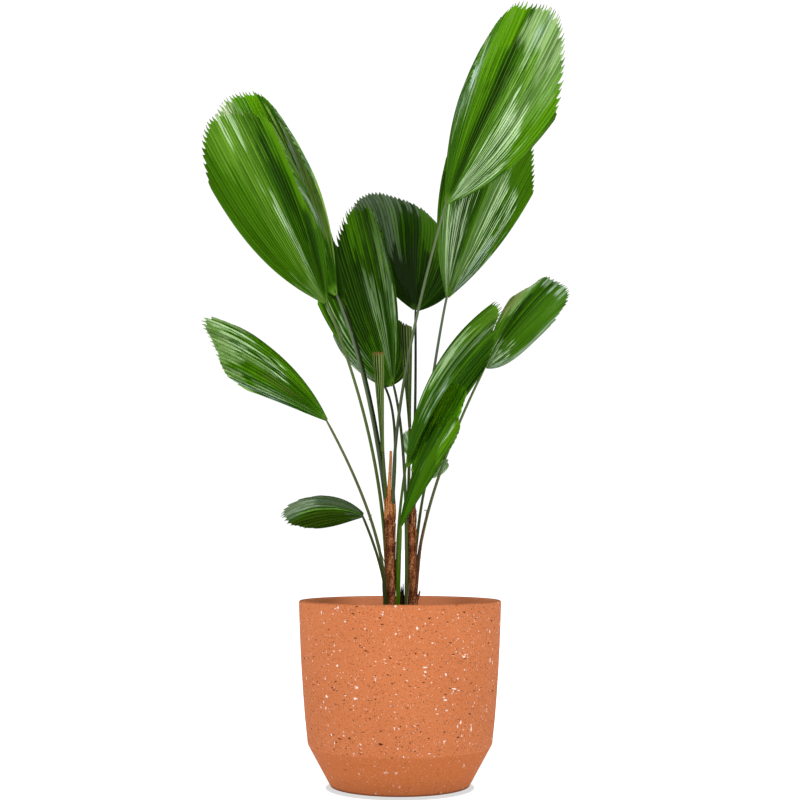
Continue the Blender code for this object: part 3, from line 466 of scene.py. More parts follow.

# Each fan's own colouring: how light and dark its greens are, and its bands in turn; for fans in shade the
# light and dark shares and the gain are raised, which is painted light. A band holds its paint, its middle
# across the fan (0 to 1) at the hub and at the margin, its half width, and where along the ribs it starts and
# ends.
LOOKS = {
    "a": dict(light=1.05, dark=1.00, rib=0.45, pitch=1.1, teeth=1.3, painted_light_gain=1.15, vein=0.15, bands=(
        ("deep", 0.12, 0.36, 0.18, 0.12, 0.60), ("painted_reflection", 0.04, 0.04, 0.09, 0.58, 0.80),
        ("glint", 0.14, 0.40, 0.120, 0.42, 0.86), ("painted_reflection", 0.13, 0.36, 0.050, 0.50, 0.78),
        ("fresh", 0.42, 0.42, 0.060, 0.15, 0.70), ("painted_lit_patch", 0.40, 0.43, 0.085, 0.67, 1.2),
        ("valley_with_painted_shade", 0.53, 0.545, 0.060, 0.03, 0.66), ("painted_black_shade", 0.53, 0.520, 0.020, 0.03, 0.80),
        ("pale", 0.64, 0.68, 0.13, 0.20, 0.85), ("painted_light_wash", 0.73, 0.73, 0.21, 0.77, 1.2),
        ("painted_reflection", 0.63, 0.63, 0.030, 0.78, 0.98), ("painted_pale_light", 0.80, 0.80, 0.10, 0.45, 0.80),
        ("fresh", 0.95, 0.92, 0.10, 0.45, 1.2), ("ribs", 0.78, 0.80, 0.17, 0.06, 0.60),
        ("sheen", 0.85, 0.85, 0.14, 0.06, 0.40), ("glint", 0.09, 0.09, 0.17, 0.80, 1.2))),
    "b": dict(light=1.00, dark=0.90, rib=0.40, pitch=0.95, teeth=1.0, painted_light_gain=1.15, vein=0.12, bands=(
        ("mist", 0.15, 0.18, 0.22, -0.1, 0.45), ("valley_with_painted_shade", 0.50, 0.56, 0.13, 0.08, 0.62),
        ("mist", 0.62, 0.62, 0.16, -0.1, 0.14), ("painted_black_shade", 0.43, 0.45, 0.11, 0.16, 0.58),
        ("ribs", 0.37, 0.40, 0.22, 0.04, 0.50), ("painted_pale_light", 0.72, 0.70, 0.08, 0.05, 0.85),
        ("sheen", 0.84, 0.84, 0.15, 0.12, 0.72), ("painted_reflection", 0.95, 0.95, 0.09, -0.1, 0.40),
        ("green", 0.90, 0.90, 0.17, 0.70, 1.2))),
    "c": dict(light=0.96, dark=0.95, rib=0.30, pitch=0.95, teeth=0.9, vein=0.20, bands=(
        ("green", 0.08, 0.10, 0.22, 0.10, 1.2), ("lime", 0.30, 0.30, 0.12, 0.05, 0.95),
        ("ribs", 0.36, 0.34, 0.04, 0.22, 0.60), ("lime", 0.32, 0.32, 0.22, 0.82, 1.2),
        ("sheen", 0.30, 0.30, 0.06, 0.88, 1.06), ("valley_with_painted_shade", 0.57, 0.57, 0.08, -0.1, 0.54),
        ("painted_black_shade", 0.56, 0.57, 0.035, -0.1, 0.42), ("valley_with_painted_shade", 0.50, 0.44, 0.045, 0.38, 0.78),
        ("painted_lit_patch", 0.60, 0.56, 0.05, 0.45, 1.2), ("lime", 0.70, 0.70, 0.06, 0.35, 0.62),
        ("painted_pale_light", 0.74, 0.74, 0.15, 0.76, 1.2), ("pale_grey_and_painted_sheen", 0.95, 0.95, 0.05, 0.60, 1.2),
        ("painted_pale_light", 0.18, 0.18, 0.30, -0.1, 0.16))),
    "d": dict(light=1.05, dark=0.70, rib=0.35, pitch=1.3, teeth=1.7, painted_light_gain=1.4, bands=(
        ("deep", 0.10, 0.10, 0.12, -0.1, 1.2), ("deep", 0.18, 0.18, 0.20, -0.1, 0.20),
        ("glint", 0.06, 0.06, 0.08, 0.30, 0.80), ("painted_black_shade", 0.20, 0.21, 0.110, 0.40, 1.2),
        ("painted_black_shade", 0.335, 0.335, 0.045, 0.30, 0.80), ("glint", 0.43, 0.44, 0.085, 0.10, 0.62),
        ("fresh", 0.41, 0.41, 0.09, 0.80, 1.2), ("valley_with_painted_shade", 0.54, 0.52, 0.050, 0.16, 0.50),
        ("glint", 0.62, 0.60, 0.110, 0.44, 0.94), ("fresh", 0.58, 0.58, 0.07, 0.70, 1.2),
        ("glint", 0.70, 0.68, 0.08, 0.26, 0.84), ("sheen", 0.81, 0.81, 0.07, 0.20, 0.64),
        ("painted_pale_light", 0.56, 0.57, 0.065, 0.58, 0.90), ("valley_with_painted_shade", 0.76, 0.76, 0.035, 0.80, 0.94),
        ("painted_black_shade", 0.86, 0.86, 0.12, 0.78, 1.2), ("mist", 0.85, 0.85, 0.15, -0.1, 0.15))),
    "e": dict(light=0.90, dark=0.80, rib=0.22, pitch=1.3, teeth=0.8, painted_light_gain=1.8, bands=(
        ("pale_grey_and_painted_sheen", 0.10, 0.10, 0.20, 0.10, 1.2), ("olive", 0.95, 0.95, 0.05, 0.30, 1.2))),
    "f": dict(light=0.80, dark=0.60, rib=0.12, pitch=1.1, fresh=0.2, painted_light_gain=1.4, bands=(
        ("painted_black_shade", 0.20, 0.34, 0.30, -0.1, 0.48), ("painted_black_shade", 0.50, 0.50, 0.26, -0.1, 0.16),
        ("painted_grey_shade", 0.50, 0.52, 0.08, -0.1, 0.60), ("painted_grey_shade", 0.36, 0.38, 0.10, 0.10, 0.50),
        ("grey", 0.28, 0.31, 0.15, 0.46, 1.2), ("mist", 0.36, 0.40, 0.03, 0.50, 0.95),
        ("green", 0.66, 0.66, 0.10, 0.52, 0.95), ("grey", 0.50, 0.50, 0.60, 0.90, 1.2))),
    # Painted light: fan g sits in shade, so its greens and bands are raised.
    "g": dict(light=2.20, dark=2.00, rib=0.30, pitch=1.2, painted_light_gain=1.9, fresh=0.6, bands=(
        ("valley_with_painted_shade", 0.50, 0.50, 0.80, -0.2, 0.16), ("painted_pale_light", 0.22, 0.22, 0.20, 0.78, 1.2),
        ("sheen", 0.24, 0.24, 0.12, 0.82, 1.05), ("painted_lit_patch", 0.47, 0.47, 0.05, 0.84, 1.2),
        ("painted_light_green", 0.84, 0.82, 0.33, 0.24, 0.84), ("painted_reflection", 0.66, 0.62, 0.05, 0.30, 0.80),
        ("grey", 0.86, 0.86, 0.22, 0.83, 1.2))),
    "h": dict(light=0.75, dark=0.60, rib=0.25, pitch=1.2, bands=(
        ("valley_with_painted_shade", 0.50, 0.50, 0.60, -0.2, 0.30),)),
    "i": dict(light=1.15, dark=1.05, rib=0.30, pitch=1.5, teeth=1.6, painted_light_gain=1.1, side=0.5, bands=(
        ("mist", 0.50, 0.50, 0.60, -0.1, 0.10), ("glint", 0.20, 0.20, 0.12, 0.20, 0.70),
        ("deep", 0.42, 0.42, 0.10, 0.14, 0.36), ("olive", 0.42, 0.42, 0.09, 0.30, 0.60),
        ("fresh", 0.80, 0.85, 0.18, 0.10, 0.42), ("sheen", 0.57, 0.62, 0.10, 0.38, 0.84),
        ("sheen", 0.72, 0.80, 0.11, 0.38, 0.90), ("painted_reflection", 0.04, 0.04, 0.11, 0.28, 1.2),
        ("painted_pale_light", 0.55, 0.55, 0.060, 0.50, 0.74), ("painted_pale_light", 0.35, 0.35, 0.070, 0.76, 0.98),
        ("painted_light_wash", 0.50, 0.50, 0.60, 0.80, 1.2))),
    "j": dict(light=0.80, dark=0.62, rib=0.08, pitch=1.1, teeth=2.2, fresh=0.1, side=0.6, bands=(
        ("moss", 0.24, 0.24, 0.26, -0.1, 1.2), ("olive", 0.76, 0.76, 0.27, -0.1, 1.2),
        ("grey", 0.76, 0.76, 0.26, 0.10, 0.60), ("pale_grey_and_painted_sheen", 0.72, 0.72, 0.28, 0.60, 1.2),
        ("grey", 0.25, 0.25, 0.26, -0.1, 0.14), ("pale", 0.50, 0.50, 0.020, -0.1, 1.2))),
    "k": dict(light=1.00, dark=0.85, rib=0.35, pitch=1.15, teeth=1.3, painted_light_gain=1.1, bands=(
        ("deep", 0.25, 0.25, 0.27, -0.1, 1.2), ("valley_with_painted_shade", 0.49, 0.49, 0.025, -0.1, 1.2),
        ("deep", 0.75, 0.75, 0.27, -0.1, 0.36), ("fresh", 0.66, 0.66, 0.14, 0.45, 1.2),
        ("sheen", 0.55, 0.56, 0.045, 0.30, 0.88), ("ribs", 0.66, 0.66, 0.07, 0.50, 0.84),
        ("glint", 0.84, 0.82, 0.12, 0.38, 0.97), ("painted_reflection", 0.94, 0.94, 0.04, 0.42, 0.66),
        ("lime", 0.72, 0.72, 0.14, 0.82, 1.2))),
    "l": dict(light=0.80, dark=0.78, rib=0.30, pitch=1.0, teeth=0.8, side=0.35, vein=0.22, bands=(
        ("painted_pale_light", 0.24, 0.22, 0.22, 0.56, 1.2), ("dry", 0.09, 0.09, 0.16, 0.60, 1.2),
        ("valley_with_painted_shade", 0.46, 0.46, 0.045, 0.10, 0.72), ("green", 0.72, 0.72, 0.17, 0.30, 1.2),
        ("ribs", 0.68, 0.68, 0.24, 0.02, 0.32), ("painted_reflection", 0.95, 0.95, 0.08, -0.1, 0.34),
        ("pale_grey_and_painted_sheen", 0.96, 0.96, 0.06, 0.10, 0.95), ("pale_grey_and_painted_sheen", 0.60, 0.60, 0.60, 0.965, 1.2))),
    # Painted light: fan m sits in shade, so its greens and bands are raised.
    "m": dict(light=2.30, dark=2.00, rib=0.20, pitch=1.2, teeth=0.5, fresh=0.5, painted_light_gain=1.7, bands=(
        ("valley_with_painted_shade", 0.40, 0.40, 0.60, -0.1, 0.18), ("painted_lit_patch", 0.18, 0.18, 0.19, 0.62, 1.2))),
    "n": dict(light=0.98, dark=0.92, rib=0.20, pitch=1.2, teeth=0.5, bands=(
        ("deep", 0.12, 0.12, 0.16, 0.20, 1.2), ("green", 0.46, 0.46, 0.20, -0.1, 0.8),
        ("painted_lit_patch", 0.55, 0.55, 0.08, 0.7, 1.2), ("sheen", 0.22, 0.22, 0.04, 0.60, 0.72),
        ("sheen", 0.44, 0.45, 0.04, 0.74, 0.97), ("lime", 0.70, 0.70, 0.06, 0.62, 1.2))),
    # Painted light: the small back fan is raised to a pale grey.
    "p": dict(light=1.80, dark=1.60, rib=0.25, pitch=1.0, painted_light_gain=1.7, bands=(
        ("pale_grey_and_painted_sheen", 0.50, 0.50, 0.80, -0.2, 1.2),)),
}


def leaf_material(name, settings, look, pleats):
    """Pleated blade: pale ribs with painted highlight on the crests, veins, painted shade in the pleats'
    valleys and on one side of each pleat, and bands of painted shade, fresh green, painted light and painted
    sheen laid along the pleats.
    """
    shader = Shader(name)
    wall = shader.node("ShaderNodeUVMap", {"uv_map": "blade"})
    across = shader.node("ShaderNodeSeparateXYZ", inputs={"Vector": wall}, output="X")
    along = Link(shader, across.socket.node.outputs["Y"])
    pleat = across * float(pleats)
    crest = shader.math("PINGPONG", pleat, 0.5) * 2.0
    own = shader.chance(pleat)
    jag = (shader.chance(pleat * 0.8) - 0.5) * 0.20
    fine = shader.noise(shader.vector(pleat * 2.1, along * 3.6, 8.5), 1.0, 2.0)
    streak = shader.noise(shader.vector(pleat * 1.7, along * 2.4, 0.5), 1.0, 2.0)
    thread = shader.noise(shader.vector(pleat * 1.6, along * 3.0, 3.5), 1.0, 3.0, 0.65)
    cloud = shader.noise(shader.place(), 14.0, 3.0)
    # Painted light and shade: each fan's greens are scaled by its light and dark shares, raised on fans in
    # shade and lowered on the darkest fans.
    deep, green, fresh, rib = (
        tuple(part * look[scale] for part in colour) for colour, scale in (
            (settings.leaf_deep, "dark"), (settings.leaf_green, "light"),
            (settings.leaf_fresh, "light"), (settings.leaf_rib, "light")))
    # Painted shade: the darkest green, for the pleats' valleys.
    groove = tuple(part * 0.45 for part in deep)
    colour = shader.mix(shader.step(streak * 0.6 + own * 0.4, 0.30, 0.65), deep, green)
    colour = shader.mix(shader.step(cloud + own * 0.25, 0.50, 0.85) * 0.7 * look.get("fresh", 1.0),
                        colour, fresh)
    relieved = shader.math("MULTIPLY", along, 0.0) + 1.0
    for number, (paint, low, high, half, start, end) in enumerate(look["bands"]):
        tint, strength, broken, soft, crests, evens = PAINTS[paint]
        # Painted light: the band colours are raised by the fan's gain.
        tint = tuple(min(part * look.get("painted_light_gain", 1.0), 0.9) for part in tint)
        wave = shader.noise(shader.vector(pleat * 0.9, along * 2.6, 5.0 + number), 1.0, 3.5, 0.6)
        away = shader.math("ABSOLUTE", across - (along * (high - low) + low))
        away = away - (wave - 0.52) * half * (0.5 + 1.7 * broken)
        place = along + jag
        mask = shader.step(away, half, half * (1.0 - soft * 0.8))
        mask = mask * shader.step(place, start - 0.03, start + 0.03)
        mask = mask * shader.step(place, end + 0.03, end - 0.03)
        lines = shader.step(wave + (crest - 0.55) * (crests * 0.35), 0.44, 0.54) * shader.step(
            fine + (crest - 0.55) * (crests * 0.35), 0.42, 0.50)
        colour = shader.mix(mask * (lines * broken + (1.0 - broken)) * strength, colour, tint)
        if evens > 0.0:
            relieved = relieved * (1.0 - mask * evens)
    # Painted shade in each pleat's valley and on one side of each pleat; the crests are painted paler, partly
    # pale ribs and partly painted highlight.
    valley_with_painted_shade = shader.step(crest, 0.34, 0.06)
    ridge = shader.step(crest, 0.80, 0.97)
    shaded = shader.step(shader.math("FRACT", pleat), 0.47, 0.56)
    vein = shader.step(shader.math("PINGPONG", pleat * 3.0, 0.5), 0.16, 0.02)
    colour = shader.mix(relieved * vein * look.get("vein", 0.30), colour, deep)
    colour = shader.mix(relieved * shaded * 0.38, colour, deep)
    colour = shader.mix(relieved * shader.step(own, 0.40, 0.10) * 0.40, colour, deep)
    colour = shader.mix(relieved * valley_with_painted_shade * 0.62, colour, groove)
    colour = shader.mix(relieved * ridge * (streak * 0.9 + 0.2) * look["rib"], colour, rib)
    colour = shader.mix(relieved * shader.step(thread, 0.43, 0.36) * 0.45, colour, deep)
    colour = shader.mix(shader.step(along, 0.08, 0.02) * 0.6, colour, rib)
    side = shader.step(shader.math("ABSOLUTE", across - 0.5), 0.487, 0.497)
    tip = shader.step(along, 0.986, 0.996) * shader.step(crest, 0.40, 0.80)
    colour = shader.mix(side * look.get("side", 0.12), colour, settings.leaf_dry)
    colour = shader.mix(tip * 0.70, colour, settings.leaf_dry)
    relief = thread * 0.3 + ridge * 0.6 - valley_with_painted_shade * 0.4
    roughness = 0.24 + streak * 0.14 + tip * 0.3
    return shader.finish(colour, roughness, relief, 0.0005, Specular_IOR_Level=settings.leaf_gloss)


# ---- modelling helpers ----
def deselect_all():
    bpy.ops.object.select_all(action="DESELECT")


def use_only(piece):
    deselect_all()
    piece.select_set(True)
    bpy.context.view_layer.objects.active = piece


def named(piece, name):
    piece.name = name
    piece.data.name = name
    return piece


def hand_over(piece, slot, material, *nodes):
    """Gives a finished piece its material and body, and lets it stand for its CAD nodes."""
    piece.data.materials.clear()
    piece.data.materials.append(material)
    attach(piece, BODY)
    if nodes:
        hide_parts(*nodes)


def read_points(piece):
    points = np.empty(len(piece.data.vertices) * 3)
    piece.data.vertices.foreach_get("co", points)
    return points.reshape(-1, 3)


def write_points(piece, points):
    piece.data.vertices.foreach_set("co", np.asarray(points, dtype=float).ravel())
    piece.data.update()


def outward(piece):
    use_only(piece)
    bpy.ops.object.mode_set(mode="EDIT")
    bpy.ops.mesh.select_all(action="SELECT")
    bpy.ops.mesh.normals_make_consistent(inside=False)
    bpy.ops.object.mode_set(mode="OBJECT")


def smooth(piece, angle=None):
    use_only(piece)
    if angle is None:
        bpy.ops.object.shade_smooth()
    else:
        bpy.ops.object.shade_smooth_by_angle(angle=math.radians(angle))


def ring_column(name, segments, rings):
    """A filled circle extruded upwards ring by ring; ring n lies at height n, with radius 1."""
    deselect_all()
    bpy.ops.mesh.primitive_circle_add(vertices=segments, radius=1.0, fill_type="NGON")
    piece = named(bpy.context.active_object, name)
    bpy.ops.object.mode_set(mode="EDIT")
    bpy.ops.mesh.select_all(action="SELECT")
    for _ in range(rings - 1):
        bpy.ops.mesh.extrude_region_move(TRANSFORM_OT_translate={"value": (0.0, 0.0, 1.0)})
    bpy.ops.object.mode_set(mode="OBJECT")
    outward(piece)
    return piece


def copy_of(piece, name):
    twin = piece.copy()
    twin.data = piece.data.copy()
    bpy.context.scene.collection.objects.link(twin)
    return named(twin, name)


def discard(piece):
    mesh = piece.data
    bpy.data.objects.remove(piece, do_unlink=True)
    bpy.data.meshes.remove(mesh)


def ring_and_angle(piece):
    points = read_points(piece)
    return np.rint(points[:, 2]).astype(int), np.arctan2(points[:, 1], points[:, 0])


def set_grain(piece, rows, angles, lengths):
    """Stores each point's round and its length along the piece for streaked materials."""
    grain = np.stack([np.cos(angles), np.sin(angles), lengths[rows]], axis=-1)
    store = piece.data.attributes.new("grain", "FLOAT_VECTOR", "POINT")
    store.data.foreach_set("vector", grain.ravel())


def ring_frames(path):
    """Two directions across a path at each of its points, carried along without turning."""
    tangents = np.gradient(path, axis=0)
    tangents /= np.linalg.norm(tangents, axis=1)[:, None]
    across = np.cross(tangents[0], (0.0, 1.0, 0.0))
    first, second = [], []
    for tangent in tangents:
        across = across - tangent * np.dot(across, tangent)
        across /= np.linalg.norm(across)
        first.append(across.copy())
        second.append(np.cross(tangent, across))
    return np.array(first), np.array(second)


def wrap_column(piece, path, radius):
    """Bends a ring column along a path; radius(row share, angle) gives the reach of each point."""
    path = np.asarray(path)
    rows, angles = ring_and_angle(piece)
    first, second = ring_frames(path)
    steps = np.linalg.norm(np.diff(path, axis=0), axis=1)
    lengths = np.concatenate([[0.0], np.cumsum(steps)])
    reach = radius(rows / (len(path) - 1), angles)[:, None]
    set_grain(piece, rows, angles, lengths)
    write_points(piece, path[rows] + reach * (
        np.cos(angles)[:, None] * first[rows] + np.sin(angles)[:, None] * second[rows]))
    outward(piece)


def curve_through(start, middle, end, shares):
    """A parabola that passes the middle point half way; shares may run a little past its ends."""
    start, middle, end = (np.array(point) for point in (start, middle, end))
    pull = 2.0 * middle - (start + end) / 2.0
    share = np.asarray(shares)[:, None]
    return (1.0 - share) ** 2 * start + 2.0 * share * (1.0 - share) * pull + share ** 2 * end


# ---- fan geometry, as in the solids ----
def fan_axes(fan):
    """Right, forward and upper-face directions of a fan, from its heading, rise and roll."""
    heading, rise, roll = (math.radians(fan[key]) for key in ("heading", "rise", "roll"))
    forward = np.array((math.cos(rise) * math.cos(heading), math.cos(rise) * math.sin(heading),
                        math.sin(rise)))
    level = np.array((-math.sin(rise) * math.cos(heading), -math.sin(rise) * math.sin(heading),
                      math.cos(rise)))
    normal = math.cos(roll) * level + math.sin(roll) * np.cross(forward, level)
    return np.cross(forward, normal), forward, normal


def rib_reach(fan, sides):
    return fan["length"] * (1.0 - fan["drop"] * np.abs(sides) ** fan["square"] + fan["lean"] * sides)


def flat_ribs(fan, sides, along):
    """Distance from the hub and bearing of each rib point on the unfolded fan."""
    reach = rib_reach(fan, sides)
    start = sides * math.radians(fan["spread"])
    turn = start * fan["close"]
    turn = np.where(np.abs(turn) < 1e-6, 1e-6, turn)
    across = reach * (np.cos(start - turn * along) - np.cos(start)) / turn
    forward = reach * (np.sin(start) - np.sin(start - turn * along)) / turn
    return np.hypot(across, forward), np.arctan2(across, forward)


def fold_section(fold, curl):
    """Cross-section of a half fan at unit half width: how far it goes out and up."""
    share = np.linspace(0.0, 1.0, 101)
    tilt = math.radians(fold) * (1.0 - np.exp(-share / FOLD_ROUND)) + math.radians(curl) * share ** 2
    middle = (tilt[1:] + tilt[:-1]) / 2.0
    out = np.concatenate([[0.0], np.cumsum(np.cos(middle))]) * 0.01
    up = np.concatenate([[0.0], np.cumsum(np.sin(middle))]) * 0.01
    return share, out, up


def folded_ribs(fan, sides, along):
    """Rib points after the fan is folded along its middle rib, as a cone from the hub."""
    distance, bearing = flat_ribs(fan, sides, along)
    spread = np.abs(bearing) / np.maximum(np.abs(sides), 1e-9)
    points = np.zeros(sides.shape + (3,))
    for half, (fold, curl) in enumerate(zip(fan["fold"], fan["curl"])):
        share, out, up = fold_section(fold, curl)
        side = np.interp(np.abs(sides), share, out) * spread
        rise = np.interp(np.abs(sides), share, up) * spread
        turn = np.maximum(np.hypot(side, rise), 1e-9)
        folded = np.stack([distance * np.sin(turn) * side / turn * np.sign(sides),
                           distance * np.cos(turn),
                           distance * np.sin(turn) * rise / turn], axis=-1)
        here = sides < 0.0 if half == 0 else sides >= 0.0
        points[here] = folded[here]
    return points


def flared(points, along, flare):
    """Bends each rib back out of the surface from FLARE_FROM to the margin."""
    back = -math.radians(flare) * np.clip((along - FLARE_FROM) / (1.0 - FLARE_FROM), 0.0, 1.0) ** 1.5
    across = np.gradient(points, axis=1)
    step = np.diff(points, axis=0)
    normal = np.cross((across[1:] + across[:-1]) / 2.0, step)
    normal /= np.maximum(np.linalg.norm(normal, axis=-1, keepdims=True), 1e-12)
    turn = ((back[1:] + back[:-1]) / 2.0)[..., None]
    size = np.linalg.norm(step, axis=-1, keepdims=True)
    turned_step = step * np.cos(turn) + normal * size * np.sin(turn)
    return np.concatenate([points[:1], points[:1] + np.cumsum(turned_step, axis=0)], axis=0)


def bent(points, fan):
    """Bows the fan back, sways it sideways and twists it about its middle rib."""
    length = fan["length"]
    share = np.linspace(-0.2, 1.2, BEND_STEPS)
    bow = math.radians(fan["bow"]) * np.clip(share, 0.0, 2.0)
    sway = math.radians(fan["sway"]) * np.clip(share, 0.0, 2.0)
    rates = (np.sin(sway) * np.cos(bow), np.cos(sway) * np.cos(bow), -np.sin(bow))
    pace = (share[1] - share[0]) * length
    spine = []
    for rate in rates:
        run = np.concatenate([[0.0], np.cumsum((rate[1:] + rate[:-1]) / 2.0)]) * pace
        spine.append(run - np.interp(0.0, share, run))
    place = points[..., 1] / length
    centre = np.stack([np.interp(place, share, run) for run in spine], axis=-1)
    inside = np.clip(place, 0.0, 2.0)
    bow, sway, twist = (math.radians(fan[key]) * inside for key in ("bow", "sway", "twist"))
    forward = np.stack([np.sin(sway) * np.cos(bow), np.cos(sway) * np.cos(bow), -np.sin(bow)], axis=-1)
    right = np.stack([np.cos(sway), -np.sin(sway), np.zeros_like(sway)], axis=-1)
    normal = np.cross(right, forward)
    across = points[..., 0] * np.cos(twist) - points[..., 2] * np.sin(twist)
    up = points[..., 0] * np.sin(twist) + points[..., 2] * np.cos(twist)
    return centre + across[..., None] * right + up[..., None] * normal


def fan_surface(fan, sides, along):
    """Middle surface of a fan in world space, one row for each value of along."""
    fine = np.linspace(0.0, 1.0, RIB_STEPS)
    side_grid, along_grid = np.meshgrid(sides, fine)
    points = folded_ribs(fan, side_grid, along_grid)
    if fan.get("flare"):
        points = flared(points, along_grid, fan["flare"])
    points = bent(points, fan)
    right, forward, normal = fan_axes(fan)
    placed = (np.array(fan["hub"]) + points[..., 0:1] * right + points[..., 1:2] * forward
              + points[..., 2:3] * normal)
    column = np.arange(len(sides))
    rows = []
    for share in along:
        position = np.clip(share, 0.0, 1.0) * (RIB_STEPS - 1)
        low = np.minimum(position.astype(int), RIB_STEPS - 2)
        part = (position - low)[:, None]
        rows.append(placed[low, column] * (1.0 - part) + placed[low + 1, column] * part)
    return np.array(rows)


def pleat_count(fan, pitch):
    """How many pleats a fan has, from the length of its margin and the pitch of its teeth."""
    sides = np.linspace(-1.0, 1.0, MARGIN_STEPS)
    margin = fan_surface(fan, sides, np.ones((1, MARGIN_STEPS)))[0]
    return int(round(np.linalg.norm(np.diff(margin, axis=0), axis=1).sum() / pitch))


def fan_blade(fan, settings, pleats, teeth, random):
    """The fine surface of a fan, zigzag across its pleats, with one pointed tooth to each of them."""
    number = np.arange(pleats * COLUMNS_A_PLEAT + 1)
    sides = np.linspace(-1.0, 1.0, len(number))
    phase = (number % COLUMNS_A_PLEAT) / COLUMNS_A_PLEAT
    pleat = np.minimum(number // COLUMNS_A_PLEAT, pleats - 1)
    notch = np.abs(2.0 * phase - 1.0) ** 0.7
    edge = np.minimum((1.0 - np.abs(sides)) * 12.0, 1.0)
    depth = settings.tooth_depth * teeth * random.uniform(0.7, 1.3, pleats)[pleat] * (0.3 + 0.7 * edge)
    start = (fan["seat"] - NECK_LENGTH) / rib_reach(fan, sides)
    end = 1.0 - depth * notch
    share = np.linspace(0.0, 1.0, FAN_ROWS + 1)[:, None] ** 0.9
    along = start + (end - start) * share
    middle = fan_surface(fan, sides, along)
    across = np.gradient(middle, axis=1)
    normal = np.cross(across, np.gradient(middle, axis=0))
    normal /= np.maximum(np.linalg.norm(normal, axis=-1, keepdims=True), 1e-12)
    strip = np.linalg.norm(across, axis=-1, keepdims=True) * COLUMNS_A_PLEAT
    wave = 1.0 - 2.0 * np.abs(2.0 * phase - 1.0)
    vary = random.uniform(0.7, 1.3, pleats)[pleat]
    fade = (1.35 - 0.65 * along)[..., None]
    flat_side = 0.25 + 0.75 * edge
    rise = settings.pleat_depth * strip * fade * (wave * vary * flat_side)[None, :, None]
    turn = random.uniform(0.0, 2.0 * math.pi, pleats)[pleat]
    pace = random.uniform(0.8, 2.2, pleats)[pleat]
    sway = np.sin(2.0 * math.pi * (along * pace[None, :]) + turn[None, :]) * (1.0 - notch)[None, :]
    ripple = settings.ripple * (sway * along ** 0.7 * edge[None, :])[..., None]
    return middle + normal * (rise + ripple), sides, along


# ---- settings ----
def length(name, description, default):
    return FloatProperty(name=name, description=description, default=default, unit="LENGTH", precision=4)


def colour(name, description, default):
    return FloatVectorProperty(name=name, description=description, default=default, size=3,
                               min=0.0, max=1.0, subtype="COLOR")


class PotSettings(bpy.types.PropertyGroup):
    """Sizes and colours of the pot and its soil."""
    segments: IntProperty(name="Segments", description="Sides of the turned pot", default=144)
    rim_round: length("Rim rounding", "Radius of the rim's rounded edges", 0.0032)
    shoulder_round: length("Shoulder rounding", "Radius of the edge above the chamfer", 0.012)
    clay: colour("Clay", "Main colour of the fired clay", (0.575, 0.174, 0.062))
    clay_deep: colour("Deep clay", "Darker clouds in the clay", (0.540, 0.160, 0.056))
    # Painted shade: the colour that darkens the chamfered foot.
    clay_foot_painted_shade: colour("Clay foot", "Clay below the shoulder", (0.500, 0.138, 0.040))
    # Painted light: the paler colour that offsets the shade inside the rim.
    clay_inside_painted_light: colour("Clay inside", "Paler clay inside the rim", (0.900, 0.310, 0.135))
    clay_light: colour("Light grain", "Pale grains in the clay", (0.820, 0.400, 0.210))
    clay_dark: colour("Dark grain", "Dark grains in the clay", (0.420, 0.120, 0.045))
    fleck_pale: colour("Pale flecks", "White chips in the clay", (0.900, 0.780, 0.700))
    fleck_dark: colour("Dark flecks", "Brown chips in the clay", (0.035, 0.010, 0.005))
    soil_dark: colour("Dark soil", "Moist soil", (0.018, 0.011, 0.007))
    soil_brown: colour("Brown soil", "Drier soil", (0.070, 0.042, 0.024))
    soil_crumb: colour("Soil crumbs", "Light bits in the soil", (0.200, 0.130, 0.080))
    crumbs: IntProperty(name="Crumbs", description="Loose bits on the soil", default=900)


